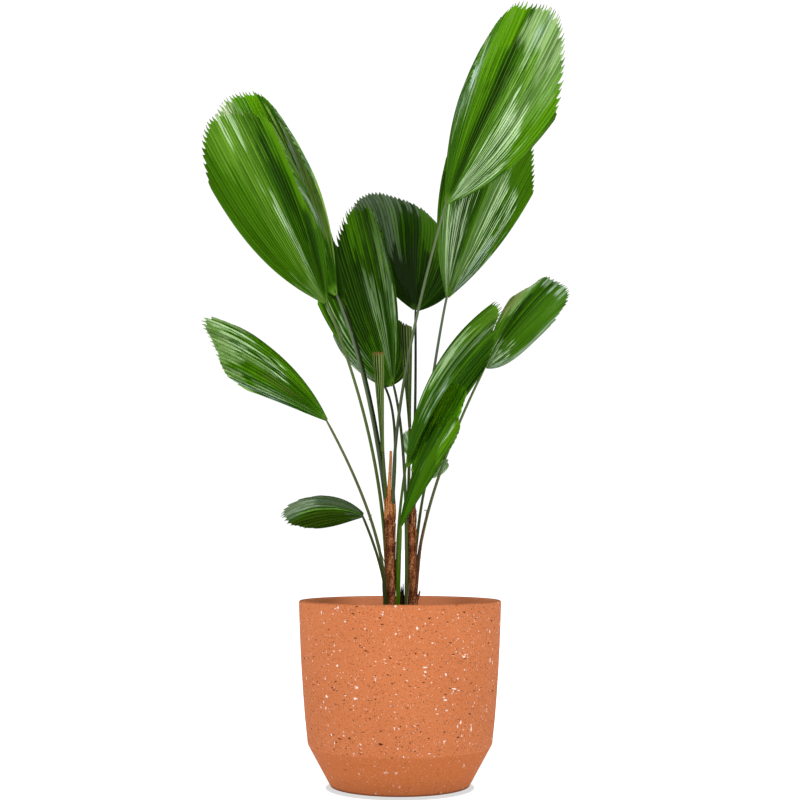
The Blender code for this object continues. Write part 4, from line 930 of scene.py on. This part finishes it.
class PalmSettings(bpy.types.PropertyGroup):
    """Sizes and colours of the stems, stalks and fans."""
    tooth_pitch: length("Tooth pitch", "Distance from tooth to tooth along a fan's margin", 0.0100)
    pleat_depth: FloatProperty(name="Pleat depth", description="Half height of a pleat as a share of "
                               "its width", default=0.15)
    tooth_depth: FloatProperty(name="Tooth depth", description="Depth of the notches as a share of the "
                               "rib", default=0.030)
    ripple: length("Ripple", "Height of the slow waves along each pleat", 0.0011)
    blade: length("Blade", "Thickness of a fan's blade", 0.0007)
    leaf_gloss: FloatProperty(name="Leaf gloss", description="Strength of the blades' shine", default=0.02)
    leaf_green: colour("Leaf green", "Main green of the blades", (0.046, 0.156, 0.001))
    leaf_deep: colour("Deep green", "Darker streaks of the blades", (0.017, 0.070, 0.001))
    leaf_fresh: colour("Fresh green", "Yellow-green parts of the blades", (0.080, 0.236, 0.001))
    leaf_rib: colour("Ribs", "Light ribs on the pleats", (0.160, 0.345, 0.025))
    leaf_dry: colour("Dry edge", "Dry tips of the teeth", (0.090, 0.060, 0.020))
    spear_dark: colour("Spear shade", "Dark grooves of the closed spears", (0.007, 0.016, 0.002))
    spear_green: colour("Spear green", "Green of the closed spears", (0.048, 0.080, 0.014))
    spear_edge: colour("Spear crests", "Pale crests of the closed spears", (0.150, 0.190, 0.060))
    spear_tip: colour("Spear tips", "Brown tips of the closed spears", (0.160, 0.085, 0.020))
    bark_low: colour("Bark shade", "Dark fibre of the stems", (0.125, 0.033, 0.010))
    bark_high: colour("Bark light", "Red-brown fibre of the stems", (0.370, 0.098, 0.030))
    bark_pale: colour("Bark threads", "Pale worn threads", (0.800, 0.350, 0.150))
    sheath_low: colour("Sheath shade", "Darker part of the dry sheath", (0.500, 0.180, 0.045))
    sheath_high: colour("Sheath light", "Lighter part of the dry sheath", (0.850, 0.360, 0.095))
    fibre_dark: colour("Dark fibres", "Old fibres at the stems' feet", (0.018, 0.009, 0.006))
    fibre_brown: colour("Brown fibres", "Lighter old fibres", (0.070, 0.034, 0.020))
    sheath_old: colour("Old sheath", "Greyed sheath on the right stalk", (0.210, 0.115, 0.085))
    sheath_pale: colour("Pale sheath", "Bleached torn sheath at the stems' feet", (0.480, 0.400, 0.300))


class StageSettings(bpy.types.PropertyGroup):
    """Floor and light of the studio."""
    floor: colour("Floor", "Pale floor", (0.72, 0.80, 0.83))
    floor_size: length("Floor size", "Side of the floor", 60.0)
    floor_shadow: FloatProperty(name="Floor shadow", description="Light left in the pot's own shadow",
                                default=0.64)
    floor_glow: FloatProperty(name="Floor glow", description="Light the floor gives off near the pot",
                              default=0.54)
    backdrop: FloatProperty(name="Backdrop", description="Brightness behind the plant", default=1.05)
    fill: FloatProperty(name="Fill", description="Brightness of the surround as a light", default=0.42)
    gloss: FloatProperty(name="Gloss", description="Brightness of the surround in reflections",
                         default=0.06)
    left: FloatProperty(name="Left light", description="Power of the left front light", default=24.0,
                        unit="POWER")
    right: FloatProperty(name="Right light", description="Power of the right front light", default=19.0,
                         unit="POWER")
    front: FloatProperty(name="Front light", description="Power of the light above the camera",
                         default=22.0, unit="POWER")
    top: FloatProperty(name="Top light", description="Power of the light above", default=16.0,
                       unit="POWER")


# ---- operators ----
def pot_corners(settings):
    """Corners of the pot's section, each with its rounding: radius, height, rounding."""
    corner = settings.rim_round
    share = np.linspace(0.0, 1.0, 7)[1:-1]
    wall = [(POT_SHOULDER_RADIUS + (POT_RIM_RADIUS - POT_SHOULDER_RADIUS) * part
             + POT_BELLY * math.sin(math.pi * part),
             POT_SHOULDER_TOP + (POT_HEIGHT - POT_SHOULDER_TOP) * part) for part in share]
    outer = [(POT_FOOT_RADIUS + 0.004, 0.0, 0.004), (POT_BASE_RADIUS, POT_BASE_ROUND, 0.006),
             (POT_CHAMFER_RADIUS + 0.0016, POT_CHAMFER_TOP + 0.006, settings.shoulder_round)]
    outer += [(radius, height, 0.0) for radius, height in wall]
    outer.append((POT_RIM_RADIUS, POT_HEIGHT, corner))
    inner = [(POT_RIM_RADIUS - POT_WALL, POT_HEIGHT, corner)]
    inner += [(radius - POT_WALL, height, 0.0) for radius, height in reversed(wall)]
    inner += [(POT_CHAMFER_RADIUS - POT_WALL, POT_CHAMFER_TOP, 0.004),
              (POT_BASE_RADIUS - POT_WALL, POT_FLOOR, 0.004)]
    return outer + inner


def rounded(corners, steps=5):
    """The section with each corner turned into an arc tangent to both of its sides."""
    points = [corners[0][:2]]
    for before, (radius, height, rounding), after in zip(corners, corners[1:], corners[2:]):
        here = np.array((radius, height))
        if rounding == 0.0:
            points.append((radius, height))
            continue
        back = np.array(before[:2]) - here
        ahead = np.array(after[:2]) - here
        back /= np.linalg.norm(back)
        ahead /= np.linalg.norm(ahead)
        half = math.acos(np.clip(np.dot(back, ahead), -1.0, 1.0)) / 2.0
        inset = rounding / math.tan(half)
        middle = (back + ahead) / np.linalg.norm(back + ahead)
        centre = here + middle * rounding / math.sin(half)
        first, last = here + back * inset - centre, here + ahead * inset - centre
        turn = math.pi - 2.0 * half
        for step in range(steps + 1):
            share = step / steps
            blend = (math.sin((1.0 - share) * turn) * first + math.sin(share * turn) * last)
            points.append(tuple(centre + blend / math.sin(turn)))
    points.append(corners[-1][:2])
    return points


class PALM_OT_pot(bpy.types.Operator):
    """Turns the clay pot from a filled circle, extruded and scaled ring by ring"""
    bl_idname = "palm.make_pot"
    bl_label = "Clay pot"

    def execute(self, context):
        settings = context.scene.palm_pot
        section = rounded(pot_corners(settings))
        deselect_all()
        bpy.ops.mesh.primitive_circle_add(vertices=settings.segments, radius=section[0][0],
                                          fill_type="NGON")
        pot = named(context.active_object, "clay_pot")
        bpy.ops.object.mode_set(mode="EDIT")
        bpy.ops.mesh.select_all(action="SELECT")
        for (radius, height), (next_radius, next_height) in zip(section, section[1:]):
            rise = (0.0, 0.0, next_height - height)
            bpy.ops.mesh.extrude_region_move(TRANSFORM_OT_translate={"value": rise})
            scale = next_radius / radius
            bpy.ops.transform.resize(value=(scale, scale, 1.0), center_override=(0.0, 0.0, next_height))
        bpy.ops.object.mode_set(mode="OBJECT")
        outward(pot)
        smooth(pot, 40.0)
        hand_over(pot, "clay", clay_material(settings), "pot")
        return {"FINISHED"}


class PALM_OT_soil(bpy.types.Operator):
    """Lays the soil: a low mound with an uneven crumbly top"""
    bl_idname = "palm.make_soil"
    bl_label = "Soil"

    def execute(self, context):
        settings = context.scene.palm_pot
        rings = 40
        soil = ring_column("soil_bed", 120, rings + 1)
        rows, angles = ring_and_angle(soil)
        edge = POT_RIM_RADIUS - POT_WALL - 0.0042
        share = 1.0 - np.clip((rows - 1) / (rings - 1), 0.0, 1.0)
        radius = np.maximum(edge * share, 0.0005)
        place = np.stack([radius * np.cos(angles), radius * np.sin(angles)], axis=-1)
        lumps = np.zeros(len(rows))
        random = np.random.default_rng(11)
        for wave, height in ((0.060, 0.0013), (0.026, 0.0011), (0.011, 0.0009), (0.006, 0.0006)):
            for _ in range(5):
                turn, start = random.uniform(0.0, 2.0 * math.pi, 2)
                ahead = place[:, 0] * math.cos(turn) + place[:, 1] * math.sin(turn)
                lumps += height * 0.5 * np.sin(2.0 * math.pi * ahead / wave + start)
        height = SOIL_TOP - SOIL_MOUND * share ** 2 + lumps * np.clip((1.0 - share) * 12.0, 0.0, 1.0)
        height = np.where(rows == 0, SOIL_TOP - 0.030, height - 0.0008)
        write_points(soil, np.column_stack([place, height]))
        outward(soil)
        smooth(soil)
        hand_over(soil, "soil", soil_material(settings), "soil")
        self.scatter(settings, random)
        return {"FINISHED"}

    def scatter(self, settings, random):
        """Strews loose crumbs and pale mineral grains over the soil."""
        deselect_all()
        bpy.ops.mesh.primitive_ico_sphere_add(subdivisions=1, radius=1.0)
        grain = bpy.context.active_object
        ball = read_points(grain)
        corners = [tuple(face.vertices) for face in grain.data.polygons]
        discard(grain)
        kinds = (("bark_crumbs", 0.72, 0.0042, (0.030, 0.016, 0.009), (0.160, 0.080, 0.040)),
                 ("mineral_grains", 0.28, 0.0024, (0.420, 0.390, 0.340), (0.700, 0.680, 0.620)))
        for name, share, size, low, high in kinds:
            count = int(settings.crumbs * share)
            points, faces = [], []
            for number in range(count):
                turn = random.uniform(0.0, 2.0 * math.pi)
                away = 0.158 * math.sqrt(random.uniform(0.0, 1.0))
                scale = size * random.uniform(0.35, 1.0)
                shape = ball * scale * random.uniform(0.5, 1.0, 3) * random.uniform(0.75, 1.2, (len(ball), 1))
                spin = random.uniform(0.0, 2.0 * math.pi)
                x = shape[:, 0] * math.cos(spin) - shape[:, 1] * math.sin(spin)
                y = shape[:, 0] * math.sin(spin) + shape[:, 1] * math.cos(spin)
                ground = SOIL_TOP - SOIL_MOUND * (away / 0.162) ** 2
                centre = (away * math.cos(turn), away * math.sin(turn), ground)
                points.append(np.column_stack([x, y, shape[:, 2] * 0.7]) + centre)
                faces += [tuple(index + number * len(ball) for index in face) for face in corners]
            mesh = bpy.data.meshes.new(name)
            mesh.from_pydata(np.concatenate(points).tolist(), [], faces)
            piece = bpy.data.objects.new(name, mesh)
            bpy.context.scene.collection.objects.link(piece)
            outward(piece)
            hand_over(piece, "soil", plain_crumb_material(name, low, high))


def flattened(angle, flat):
    """Reach of an ellipse of half width 1 and half depth flat, at each angle."""
    return flat / np.hypot(flat * np.cos(angle), np.sin(angle))


# Torn bits of sheath and loose threads: kind, start, middle, end, half width, flatness.
TORN_BITS = (
    ("old_fibres", (-0.0277, -0.0100, 0.3812), (-0.0329, -0.0100, 0.3984), (-0.0346, -0.0100, 0.4122),
     0.0007, 1.0),
    ("old_fibres", (-0.0251, -0.0100, 0.3726), (-0.0303, -0.0100, 0.3898), (-0.0355, -0.0100, 0.4053),
     0.0006, 1.0),
    ("old_fibres", (-0.0533, -0.0310, 0.4517), (-0.0507, -0.0310, 0.4569), (-0.0473, -0.0310, 0.4629),
     0.0011, 0.7),
    ("torn_sheath", (0.0191, -0.0060, 0.4640), (0.0252, -0.0060, 0.4450), (0.0277, -0.0060, 0.4225),
     0.0022, 0.3),
    ("bark_flaps", (0.0217, -0.0060, 0.4701), (0.0260, -0.0060, 0.4658), (0.0321, -0.0060, 0.4571),
     0.0012, 0.6),
    ("bark_flaps", (0.0191, -0.0060, 0.4727), (0.0243, -0.0060, 0.4709), (0.0295, -0.0060, 0.4718),
     0.0010, 0.6),
    ("old_sheath", (0.0275, 0.0120, 0.3100), (0.0352, 0.0150, 0.3911), (0.0466, 0.0160, 0.4700),
     0.0038, 0.4),
    ("bark_flaps", (0.0464, 0.0160, 0.4678), (0.0434, 0.0160, 0.4695), (0.0420, 0.0160, 0.4660),
     0.0012, 0.6),
    ("torn_sheath", (-0.0251, -0.0110, 0.4226), (-0.0208, -0.0110, 0.4232), (-0.0156, -0.0110, 0.4208),
     0.0005, 1.0),
    ("bark_flaps", (0.0304, 0.0060, 0.3136), (0.0339, 0.0060, 0.3239), (0.0352, 0.0060, 0.3300),
     0.0026, 0.5),
    ("old_fibres", (-0.0260, -0.0080, 0.3050), (-0.0300, -0.0080, 0.3400), (-0.0270, -0.0080, 0.3720),
     0.0018, 0.5),
    ("pale_sheath", (-0.0212, -0.0130, 0.2960), (-0.0232, -0.0130, 0.3110), (-0.0268, -0.0130, 0.3235),
     0.0024, 0.4),
    ("pale_sheath", (0.0118, -0.0080, 0.2960), (0.0136, -0.0085, 0.3200), (0.0178, -0.0085, 0.3430),
     0.0017, 0.5),
    ("bark_flaps", (0.0262, -0.0020, 0.2980), (0.0300, -0.0020, 0.3160), (0.0352, -0.0020, 0.3325),
     0.0040, 0.5),
    ("old_fibres", (0.0185, -0.0085, 0.4480), (0.0172, -0.0098, 0.4640), (0.0160, -0.0095, 0.4800),
     0.0024, 0.5),
    ("old_sheath", (0.0235, -0.0080, 0.4420), (0.0262, -0.0090, 0.4600), (0.0312, -0.0085, 0.4700),
     0.0020, 0.6),
    ("bark_flaps", (0.0215, -0.0085, 0.4440), (0.0222, -0.0100, 0.4640), (0.0236, -0.0090, 0.4810),
     0.0026, 0.5),
)


class PALM_OT_stems(bpy.types.Operator):
    """Makes the two fibrous stems, their loose threads and the dry pointed sheath"""
    bl_idname = "palm.make_stems"
    bl_label = "Stems"

    def execute(self, context):
        settings = context.scene.palm_plant
        tones = (settings.bark_low, settings.bark_high, settings.bark_pale)
        # The number after the tones is each stem's painted shade: its size, and by its sign the side painted
        # darker.
        barks = {"stem_left": bark_material("left_stem_fibre", *tones, 0.55, (0.192, settings.sheath_low)),
                 "stem_right": bark_material("right_stem_fibre", *tones, -0.45)}
        random = np.random.default_rng(5)
        for name, (foot, head, foot_radius, head_radius) in STEMS.items():
            rings = 110
            stem = ring_column(name + "_bark", 72, rings)
            path = curve_through(np.array(foot) - (0.0, 0.0, 0.006),
                                 (np.array(foot) + np.array(head)) / 2.0 + (0.0006, 0.0, 0.0),
                                 np.array(head) + (0.0, 0.0, 0.004), np.linspace(0.0, 1.0, rings))
            waves = [(int(random.integers(3, 30)), random.uniform(0.0, 6.3), random.uniform(-9.0, 9.0))
                     for _ in range(16)]

            def reach(share, angle, waves=waves, low=foot_radius, high=head_radius):
                boot = (share * 7.0 + angle / (2.0 * math.pi)) % 1.0
                skin = 1.0 + 0.07 * (boot - 0.5) + 0.06 * np.exp(-((boot - 0.97) / 0.05) ** 2)
                for number, start, twist in waves:
                    skin = skin + 0.010 * np.sin(number * angle + start + twist * share)
                neck = np.clip((share - 0.84) / 0.16, 0.0, 1.0) ** 2
                return (low + (high - low) * share) * skin * (1.0 - 0.38 * neck)

            wrap_column(stem, path, reach)
            smooth(stem)
            hand_over(stem, "stem_bark", barks[name], name)
        sheath = ring_column("dry_sheath", 20, 30)
        path = curve_through(np.array(SHEATH_FOOT) - (0.0, 0.0, 0.02),
                             (np.array(SHEATH_FOOT) + np.array(SHEATH_TIP)) / 2.0, SHEATH_TIP,
                             np.linspace(0.0, 1.0, 30))
        wrap_column(sheath, path, lambda share, angle: (
            (SHEATH_HALF_WIDTH + SHEATH_FLARE * (1.0 - share) ** 2.2) * flattened(angle, 0.5)
            * (1.0 + 0.12 * np.sin(5.0 * angle + 6.0 * share)) * np.minimum(1.0, (1.03 - share) * 25.0)))
        smooth(sheath)
        strap = bark_material("dry_sheath_fibre", settings.bark_high, settings.sheath_low,
                              settings.bark_pale, head=(0.034, settings.sheath_high))
        hand_over(sheath, "sheath", strap, "sheath_spike")
        orange = bark_material("torn_sheath_fibre", settings.sheath_low, settings.sheath_high,
                               settings.bark_pale)
        self.add_fibres(barks["stem_right"], orange, bark_material(
            "old_fibre", settings.fibre_dark, settings.fibre_brown, settings.bark_low), random)
        return {"FINISHED"}

    def add_fibres(self, bark, orange, old, random):
        """Ragged flaps round the stems' heads, torn sheaths and loose threads, each kind one piece."""
        template = ring_column("fibre_template", 6, 9)
        settings = bpy.context.scene.palm_plant
        worn = bark_material("old_sheath_fibre", settings.bark_low, settings.sheath_old, settings.bark_pale)
        pale = bark_material("pale_sheath_fibre", settings.sheath_old, settings.sheath_pale,
                             settings.bark_pale)
        kinds = {"torn_sheath": (orange, []), "bark_flaps": (bark, []), "old_fibres": (old, []),
                 "old_sheath": (worn, []), "pale_sheath": (pale, [])}
        for name, (foot, head, _, radius) in STEMS.items():
            for turn in np.arange(11) * 2.0 * math.pi / 11.0 + random.uniform(-0.2, 0.2, 11):
                out = np.array((math.cos(turn), math.sin(turn), 0.0))
                start = np.array(head) + out * radius * 0.93 - (0.0, 0.0, random.uniform(0.022, 0.036))
                end = np.array(head) + out * radius * random.uniform(0.60, 0.95)
                end += (0.0, 0.0, random.uniform(-0.002, 0.022))
                kind = "torn_sheath" if name == "stem_left" else "bark_flaps"
                kinds[kind][1].append((start, (start + end) / 2.0 + out * 0.0008, end,
                                       random.uniform(0.0020, 0.0034), 0.4))
        for kind, start, middle, end, radius, flat in TORN_BITS:
            kinds[kind][1].append((start, middle, end, radius, flat))
        for _ in range(64):
            start = np.array((random.uniform(0.001, 0.012), random.uniform(-0.004, 0.010), SOIL_TOP - 0.003))
            end = start + (random.uniform(-0.002, 0.002), random.uniform(-0.003, 0.003),
                           random.uniform(0.036, 0.070))
            bow = random.uniform(-0.002, 0.002, 3)
            kinds["old_fibres"][1].append((start, (start + end) / 2.0 + bow, end,
                                           random.uniform(0.0010, 0.0022), 1.0))
        for name, (material, strands) in kinds.items():
            pieces = []
            for number, (start, middle, end, radius, flat) in enumerate(strands):
                strand = copy_of(template, "%s_%d" % (name, number))
                path = curve_through(start, middle, end, np.linspace(0.0, 1.0, 9))
                wrap_column(strand, path, lambda share, angle, radius=radius, flat=flat: (
                    radius * flattened(angle, flat) * (1.0 - 0.90 * share ** 1.5)))
                pieces.append(strand)
            deselect_all()
            for strand in pieces:
                strand.select_set(True)
            bpy.context.view_layer.objects.active = pieces[0]
            bpy.ops.object.join()
            piece = named(pieces[0], name)
            smooth(piece)
            hand_over(piece, "stem_bark" if name.startswith("bark") else "sheath", material)
        discard(template)


# Each stalk's green, low on the stalk and near its fan.
STALK_GREENS = {
    "a": ((0.060, 0.080, 0.036), (0.120, 0.150, 0.076)), "b": ((0.075, 0.100, 0.048), (0.130, 0.160, 0.092)),
    "c": ((0.056, 0.096, 0.012), (0.092, 0.130, 0.036)), "d": ((0.068, 0.100, 0.018), (0.050, 0.070, 0.028)),
    "e": ((0.050, 0.072, 0.026), (0.040, 0.060, 0.022)), "f": ((0.050, 0.070, 0.030), (0.038, 0.052, 0.034)),
    "g": ((0.055, 0.078, 0.030), (0.110, 0.140, 0.082)), "h": ((0.020, 0.030, 0.006), (0.014, 0.024, 0.006)),
    "i": ((0.058, 0.068, 0.014), (0.095, 0.118, 0.040)), "j": ((0.050, 0.066, 0.014), (0.040, 0.054, 0.014)),
    "k": ((0.046, 0.092, 0.006), (0.044, 0.080, 0.012)), "l": ((0.100, 0.092, 0.046), (0.115, 0.155, 0.060)),
    "m": ((0.040, 0.060, 0.010), (0.040, 0.064, 0.010)), "n": ((0.100, 0.230, 0.003), (0.062, 0.125, 0.008)),
    "p": ((0.060, 0.082, 0.020), (0.070, 0.105, 0.030)), "q": ((0.046, 0.072, 0.010), (0.075, 0.095, 0.022)),
    "r": ((0.040, 0.060, 0.010), (0.070, 0.095, 0.022)),
}


class PALM_OT_stalks(bpy.types.Operator):
    """Draws each leaf stalk as one tapering limb from its foot to its fan"""
    bl_idname = "palm.make_stalks"
    bl_label = "Leaf stalks"

    def execute(self, context):
        settings = context.scene.palm_plant
        rings = 40
        template = ring_column("stalk_template", 16, rings)
        for key, leaf in {**FANS, **SPEARS}.items():
            stalk = copy_of(template, "stalk_" + key)
            forward = fan_axes(leaf)[1] if "heading" in leaf else np.array((0.0, 0.0, 1.0))
            end = np.array(leaf["hub"]) + forward * 0.009
            path = curve_through(leaf["foot"], leaf["mid"], end, np.linspace(-0.02, 1.01, rings))

            def reach(share, angle, thick=leaf["thick"]):
                taper = PETIOLE_TIP_RADIUS + (thick - PETIOLE_TIP_RADIUS) * (1.0 - share) ** 0.8
                taper = taper * (1.0 + 0.35 * np.clip(1.0 - share / 0.10, 0.0, 1.0) ** 2)
                groove = 1.0 - 0.16 * np.exp(-((angle + math.pi / 2.0) / 0.5) ** 2)
                return taper * groove * (1.0 - 0.5 * np.clip(share * 25.0 - 24.0, 0.0, 1.0))

            wrap_column(stalk, path, reach)
            smooth(stalk)
            low, high = STALK_GREENS[key]
            run = float(np.linalg.norm(np.diff(path, axis=0), axis=1).sum())
            green = stalk_material("stalk_green_" + key, low, high, run)
            hand_over(stalk, "petiole", green, "petiole_" + key)
        discard(template)
        return {"FINISHED"}


class PALM_OT_fans(bpy.types.Operator):
    """Shapes each pleated fan from a grid, with its toothed margin, and gives it its thickness"""
    bl_idname = "palm.make_fans"
    bl_label = "Fans"

    def execute(self, context):
        settings = context.scene.palm_plant
        for number, (key, fan) in enumerate(FANS.items()):
            look = LOOKS[key]
            pleats = pleat_count(fan, settings.tooth_pitch * look["pitch"])
            columns = pleats * COLUMNS_A_PLEAT
            deselect_all()
            bpy.ops.mesh.primitive_grid_add(x_subdivisions=columns, y_subdivisions=FAN_ROWS, size=2.0)
            piece = named(context.active_object, "leaf_" + key)
            piece.data.uv_layers[0].name = "blade"
            flat = read_points(piece)
            column = np.rint((flat[:, 0] + 1.0) / 2.0 * columns).astype(int)
            row = np.rint((flat[:, 1] + 1.0) / 2.0 * FAN_ROWS).astype(int)
            surface, sides, along = fan_blade(
                fan, settings, pleats, look.get("teeth", 1.0), np.random.default_rng(100 + number))
            write_points(piece, surface[row, column])
            self.set_wall_map(piece, (sides + 1.0) / 2.0, along, row, column)
            use_only(piece)
            bpy.ops.object.modifier_add(type="SOLIDIFY")
            wall = piece.modifiers[-1]
            wall.thickness = settings.blade
            wall.offset = 0.0
            bpy.ops.object.modifier_apply(modifier=wall.name)
            smooth(piece, 25.0)
            green = leaf_material("blade_" + key, settings, look, pleats)
            hand_over(piece, "fan_leaf", green, "fan_" + key)
        return {"FINISHED"}

    def set_wall_map(self, piece, sides, along, row, column):
        """Writes the blade's map: side to side in u, and the share along the rib in v."""
        corner = np.empty(len(piece.data.loops), dtype=int)
        piece.data.loops.foreach_get("vertex_index", corner)
        places = np.stack([sides[column], along[row, column]], axis=-1)[corner]
        piece.data.uv_layers["blade"].data.foreach_set("uv", places.ravel())


class PALM_OT_spears(bpy.types.Operator):
    """Makes the two young fans that are still closed: folded bundles with toothed tops"""
    bl_idname = "palm.make_spears"
    bl_label = "Closed spears"

    def execute(self, context):
        settings = context.scene.palm_plant
        folds, rings = 13, 48
        for key, spear in SPEARS.items():
            piece = ring_column("closed_" + key, folds * 8, rings)
            rows, angles = ring_and_angle(piece)
            share = rows / (rings - 1)
            foot = np.array(spear["hub"]) - (0.0, 0.0, 0.006)
            top = np.array(spear["top"])
            grown = np.clip(share / spear["grown"], 0.0, 1.0)
            wide = spear["neck"] + (spear["width"] / 2.0 - spear["neck"]) * grown ** 1.5 * (1.6 - 0.6 * grown)
            crest = np.abs(np.cos(folds * angles / 2.0))
            wide = wide * (0.82 + 0.22 * crest)
            across = wide * np.cos(angles)
            ragged = 0.0012 * np.sin(17.0 * angles + 3.0 * np.sin(5.0 * angles)) + 0.0050 * crest
            near_top = np.clip(share * 12.0 - 11.0, 0.0, 1.0)
            sink = near_top * (spear["slope"] * across - ragged)
            centre = foot + (top - foot) * share[:, None]
            below = (1.0 - share) * np.linalg.norm(top - foot)
            grain = np.stack([crest, angles / math.pi, below], axis=-1)
            store = piece.data.attributes.new("grain", "FLOAT_VECTOR", "POINT")
            store.data.foreach_set("vector", grain.ravel())
            write_points(piece, centre + np.column_stack([across, wide * 0.45 * np.sin(angles), -sink]))
            outward(piece)
            smooth(piece, 45.0)
            green = spear_material("spear_pleats_" + key, settings, spear)
            hand_over(piece, "spear_leaf", green, "spear_" + key)
        return {"FINISHED"}


class PALM_OT_stage(bpy.types.Operator):
    """Sets the camera, the pale floor and the soft studio light"""
    bl_idname = "palm.make_stage"
    bl_label = "Studio"

    def execute(self, context):
        settings = context.scene.palm_stage
        self.add_camera(context)
        self.add_floor(settings)
        self.add_surround(context, settings)
        self.add_light("left_light", (-2.1, -1.9, 1.5), (0.0, 0.0, 0.75), 1.5, settings.left)
        self.add_light("right_light", (2.2, -1.7, 1.3), (0.0, 0.0, 0.75), 1.3, settings.right)
        self.add_light("front_light", (0.2, -2.6, 2.5), (0.0, 0.0, 0.6), 1.2, settings.front)
        self.add_light("top_light", (0.2, 0.4, 3.2), (0.0, 0.0, 0.6), 1.8, settings.top)
        context.scene.view_settings.view_transform = "Standard"
        return {"FINISHED"}

    def add_camera(self, context):
        data = bpy.data.cameras.new("camera")
        data.sensor_width = SENSOR_WIDTH
        data.lens = FOCAL_PIXELS / FRAME_PIXELS * SENSOR_WIDTH
        camera = bpy.data.objects.new("camera", data)
        camera.location = CAMERA_PLACE
        camera.rotation_euler = (math.radians(90.0 + CAMERA_TILT), 0.0, 0.0)
        context.scene.collection.objects.link(camera)
        context.scene.camera = camera

    def add_floor(self, settings):
        deselect_all()
        bpy.ops.mesh.primitive_plane_add(size=settings.floor_size)
        floor = named(bpy.context.active_object, "floor")
        shader = Shader("pale_floor")
        place = shader.place()
        away = shader.node("ShaderNodeVectorMath", {"operation": "LENGTH"}, {0: place}, "Value")
        beside = shader.node("ShaderNodeVectorMath", {"operation": "DISTANCE"}, {
            0: place, 1: (0.0, -0.025, 0.0)}, "Value")
        # Painted shadow: a grey disc where the pot's shadow falls; around the pot the floor glows brighter
        # and is painted less pale.
        shadow = shader.step(beside, 0.1275, 0.1240)
        near = shader.step(away, 0.60, 0.20)
        glow = shader.mix(shader.step(away, 0.25, 1.1), (settings.floor_glow,) * 3, (1.0, 1.0, 1.0))
        glow = shader.mix(near, glow, (settings.floor_glow + 0.36,) * 3)
        glow = shader.mix(shadow, glow, (settings.floor_shadow,) * 3)
        shader.feed(shader.surface.inputs["Emission Color"], glow)
        pale = shader.mix(near, tuple(settings.floor), toned(settings.floor, 0.42))
        pale = shader.mix(shadow, pale, toned(settings.floor, 0.15))
        floor.data.materials.append(shader.finish(pale, 0.9, Specular_IOR_Level=0.0,
                                                  Emission_Strength=1.0))

    def add_surround(self, context, settings):
        """White behind the plant, dimmer as a light, and dark in reflections."""
        world = bpy.data.worlds.new("surround")
        world.use_nodes = True
        nodes, links = world.node_tree.nodes, world.node_tree.links
        light = nodes["Background"]
        path = nodes.new("ShaderNodeLightPath")
        glossy = nodes.new("ShaderNodeMix")
        seen = nodes.new("ShaderNodeMix")
        glossy.inputs[2].default_value = settings.fill
        glossy.inputs[3].default_value = settings.gloss
        seen.inputs[3].default_value = settings.backdrop
        links.new(path.outputs["Is Glossy Ray"], glossy.inputs[0])
        links.new(glossy.outputs[0], seen.inputs[2])
        links.new(path.outputs["Is Camera Ray"], seen.inputs[0])
        links.new(seen.outputs[0], light.inputs["Strength"])
        light.inputs["Color"].default_value = (1.0, 1.0, 1.0, 1.0)
        context.scene.world = world

    def add_light(self, name, place, aim, size, power):
        data = bpy.data.lights.new(name, "AREA")
        data.shape = "SQUARE"
        data.size = size
        data.energy = power
        light = bpy.data.objects.new(name, data)
        light.location = place
        light.rotation_euler = (Vector(aim) - Vector(place)).to_track_quat("-Z", "Y").to_euler()
        bpy.context.scene.collection.objects.link(light)


OPERATORS = (PALM_OT_stage, PALM_OT_pot, PALM_OT_soil, PALM_OT_stems, PALM_OT_stalks, PALM_OT_fans,
             PALM_OT_spears)


class PALM_PT_panel(bpy.types.Panel):
    """Lists the pieces of the palm and their settings"""
    bl_idname = "PALM_PT_panel"
    bl_label = "Potted fan palm"
    bl_space_type = "VIEW_3D"
    bl_region_type = "UI"
    bl_category = "Palm"

    def draw(self, context):
        for operator in OPERATORS:
            self.layout.operator(operator.bl_idname)
        for group in ("palm_pot", "palm_plant", "palm_stage"):
            settings = getattr(context.scene, group)
            box = self.layout.box()
            for name in settings.__annotations__:
                box.prop(settings, name)


CLASSES = (PotSettings, PalmSettings, StageSettings, *OPERATORS, PALM_PT_panel)


def register():
    for each in CLASSES:
        bpy.utils.register_class(each)
    bpy.types.Scene.palm_pot = PointerProperty(type=PotSettings)
    bpy.types.Scene.palm_plant = PointerProperty(type=PalmSettings)
    bpy.types.Scene.palm_stage = PointerProperty(type=StageSettings)


def unregister():
    del bpy.types.Scene.palm_stage
    del bpy.types.Scene.palm_plant
    del bpy.types.Scene.palm_pot
    for each in reversed(CLASSES):
        bpy.utils.unregister_class(each)


def main():
    register()
    bpy.ops.palm.make_stage()
    bpy.ops.palm.make_pot()
    bpy.ops.palm.make_soil()
    bpy.ops.palm.make_stems()
    bpy.ops.palm.make_stalks()
    bpy.ops.palm.make_fans()
    bpy.ops.palm.make_spears()


if __name__ == "__main__":
    main()
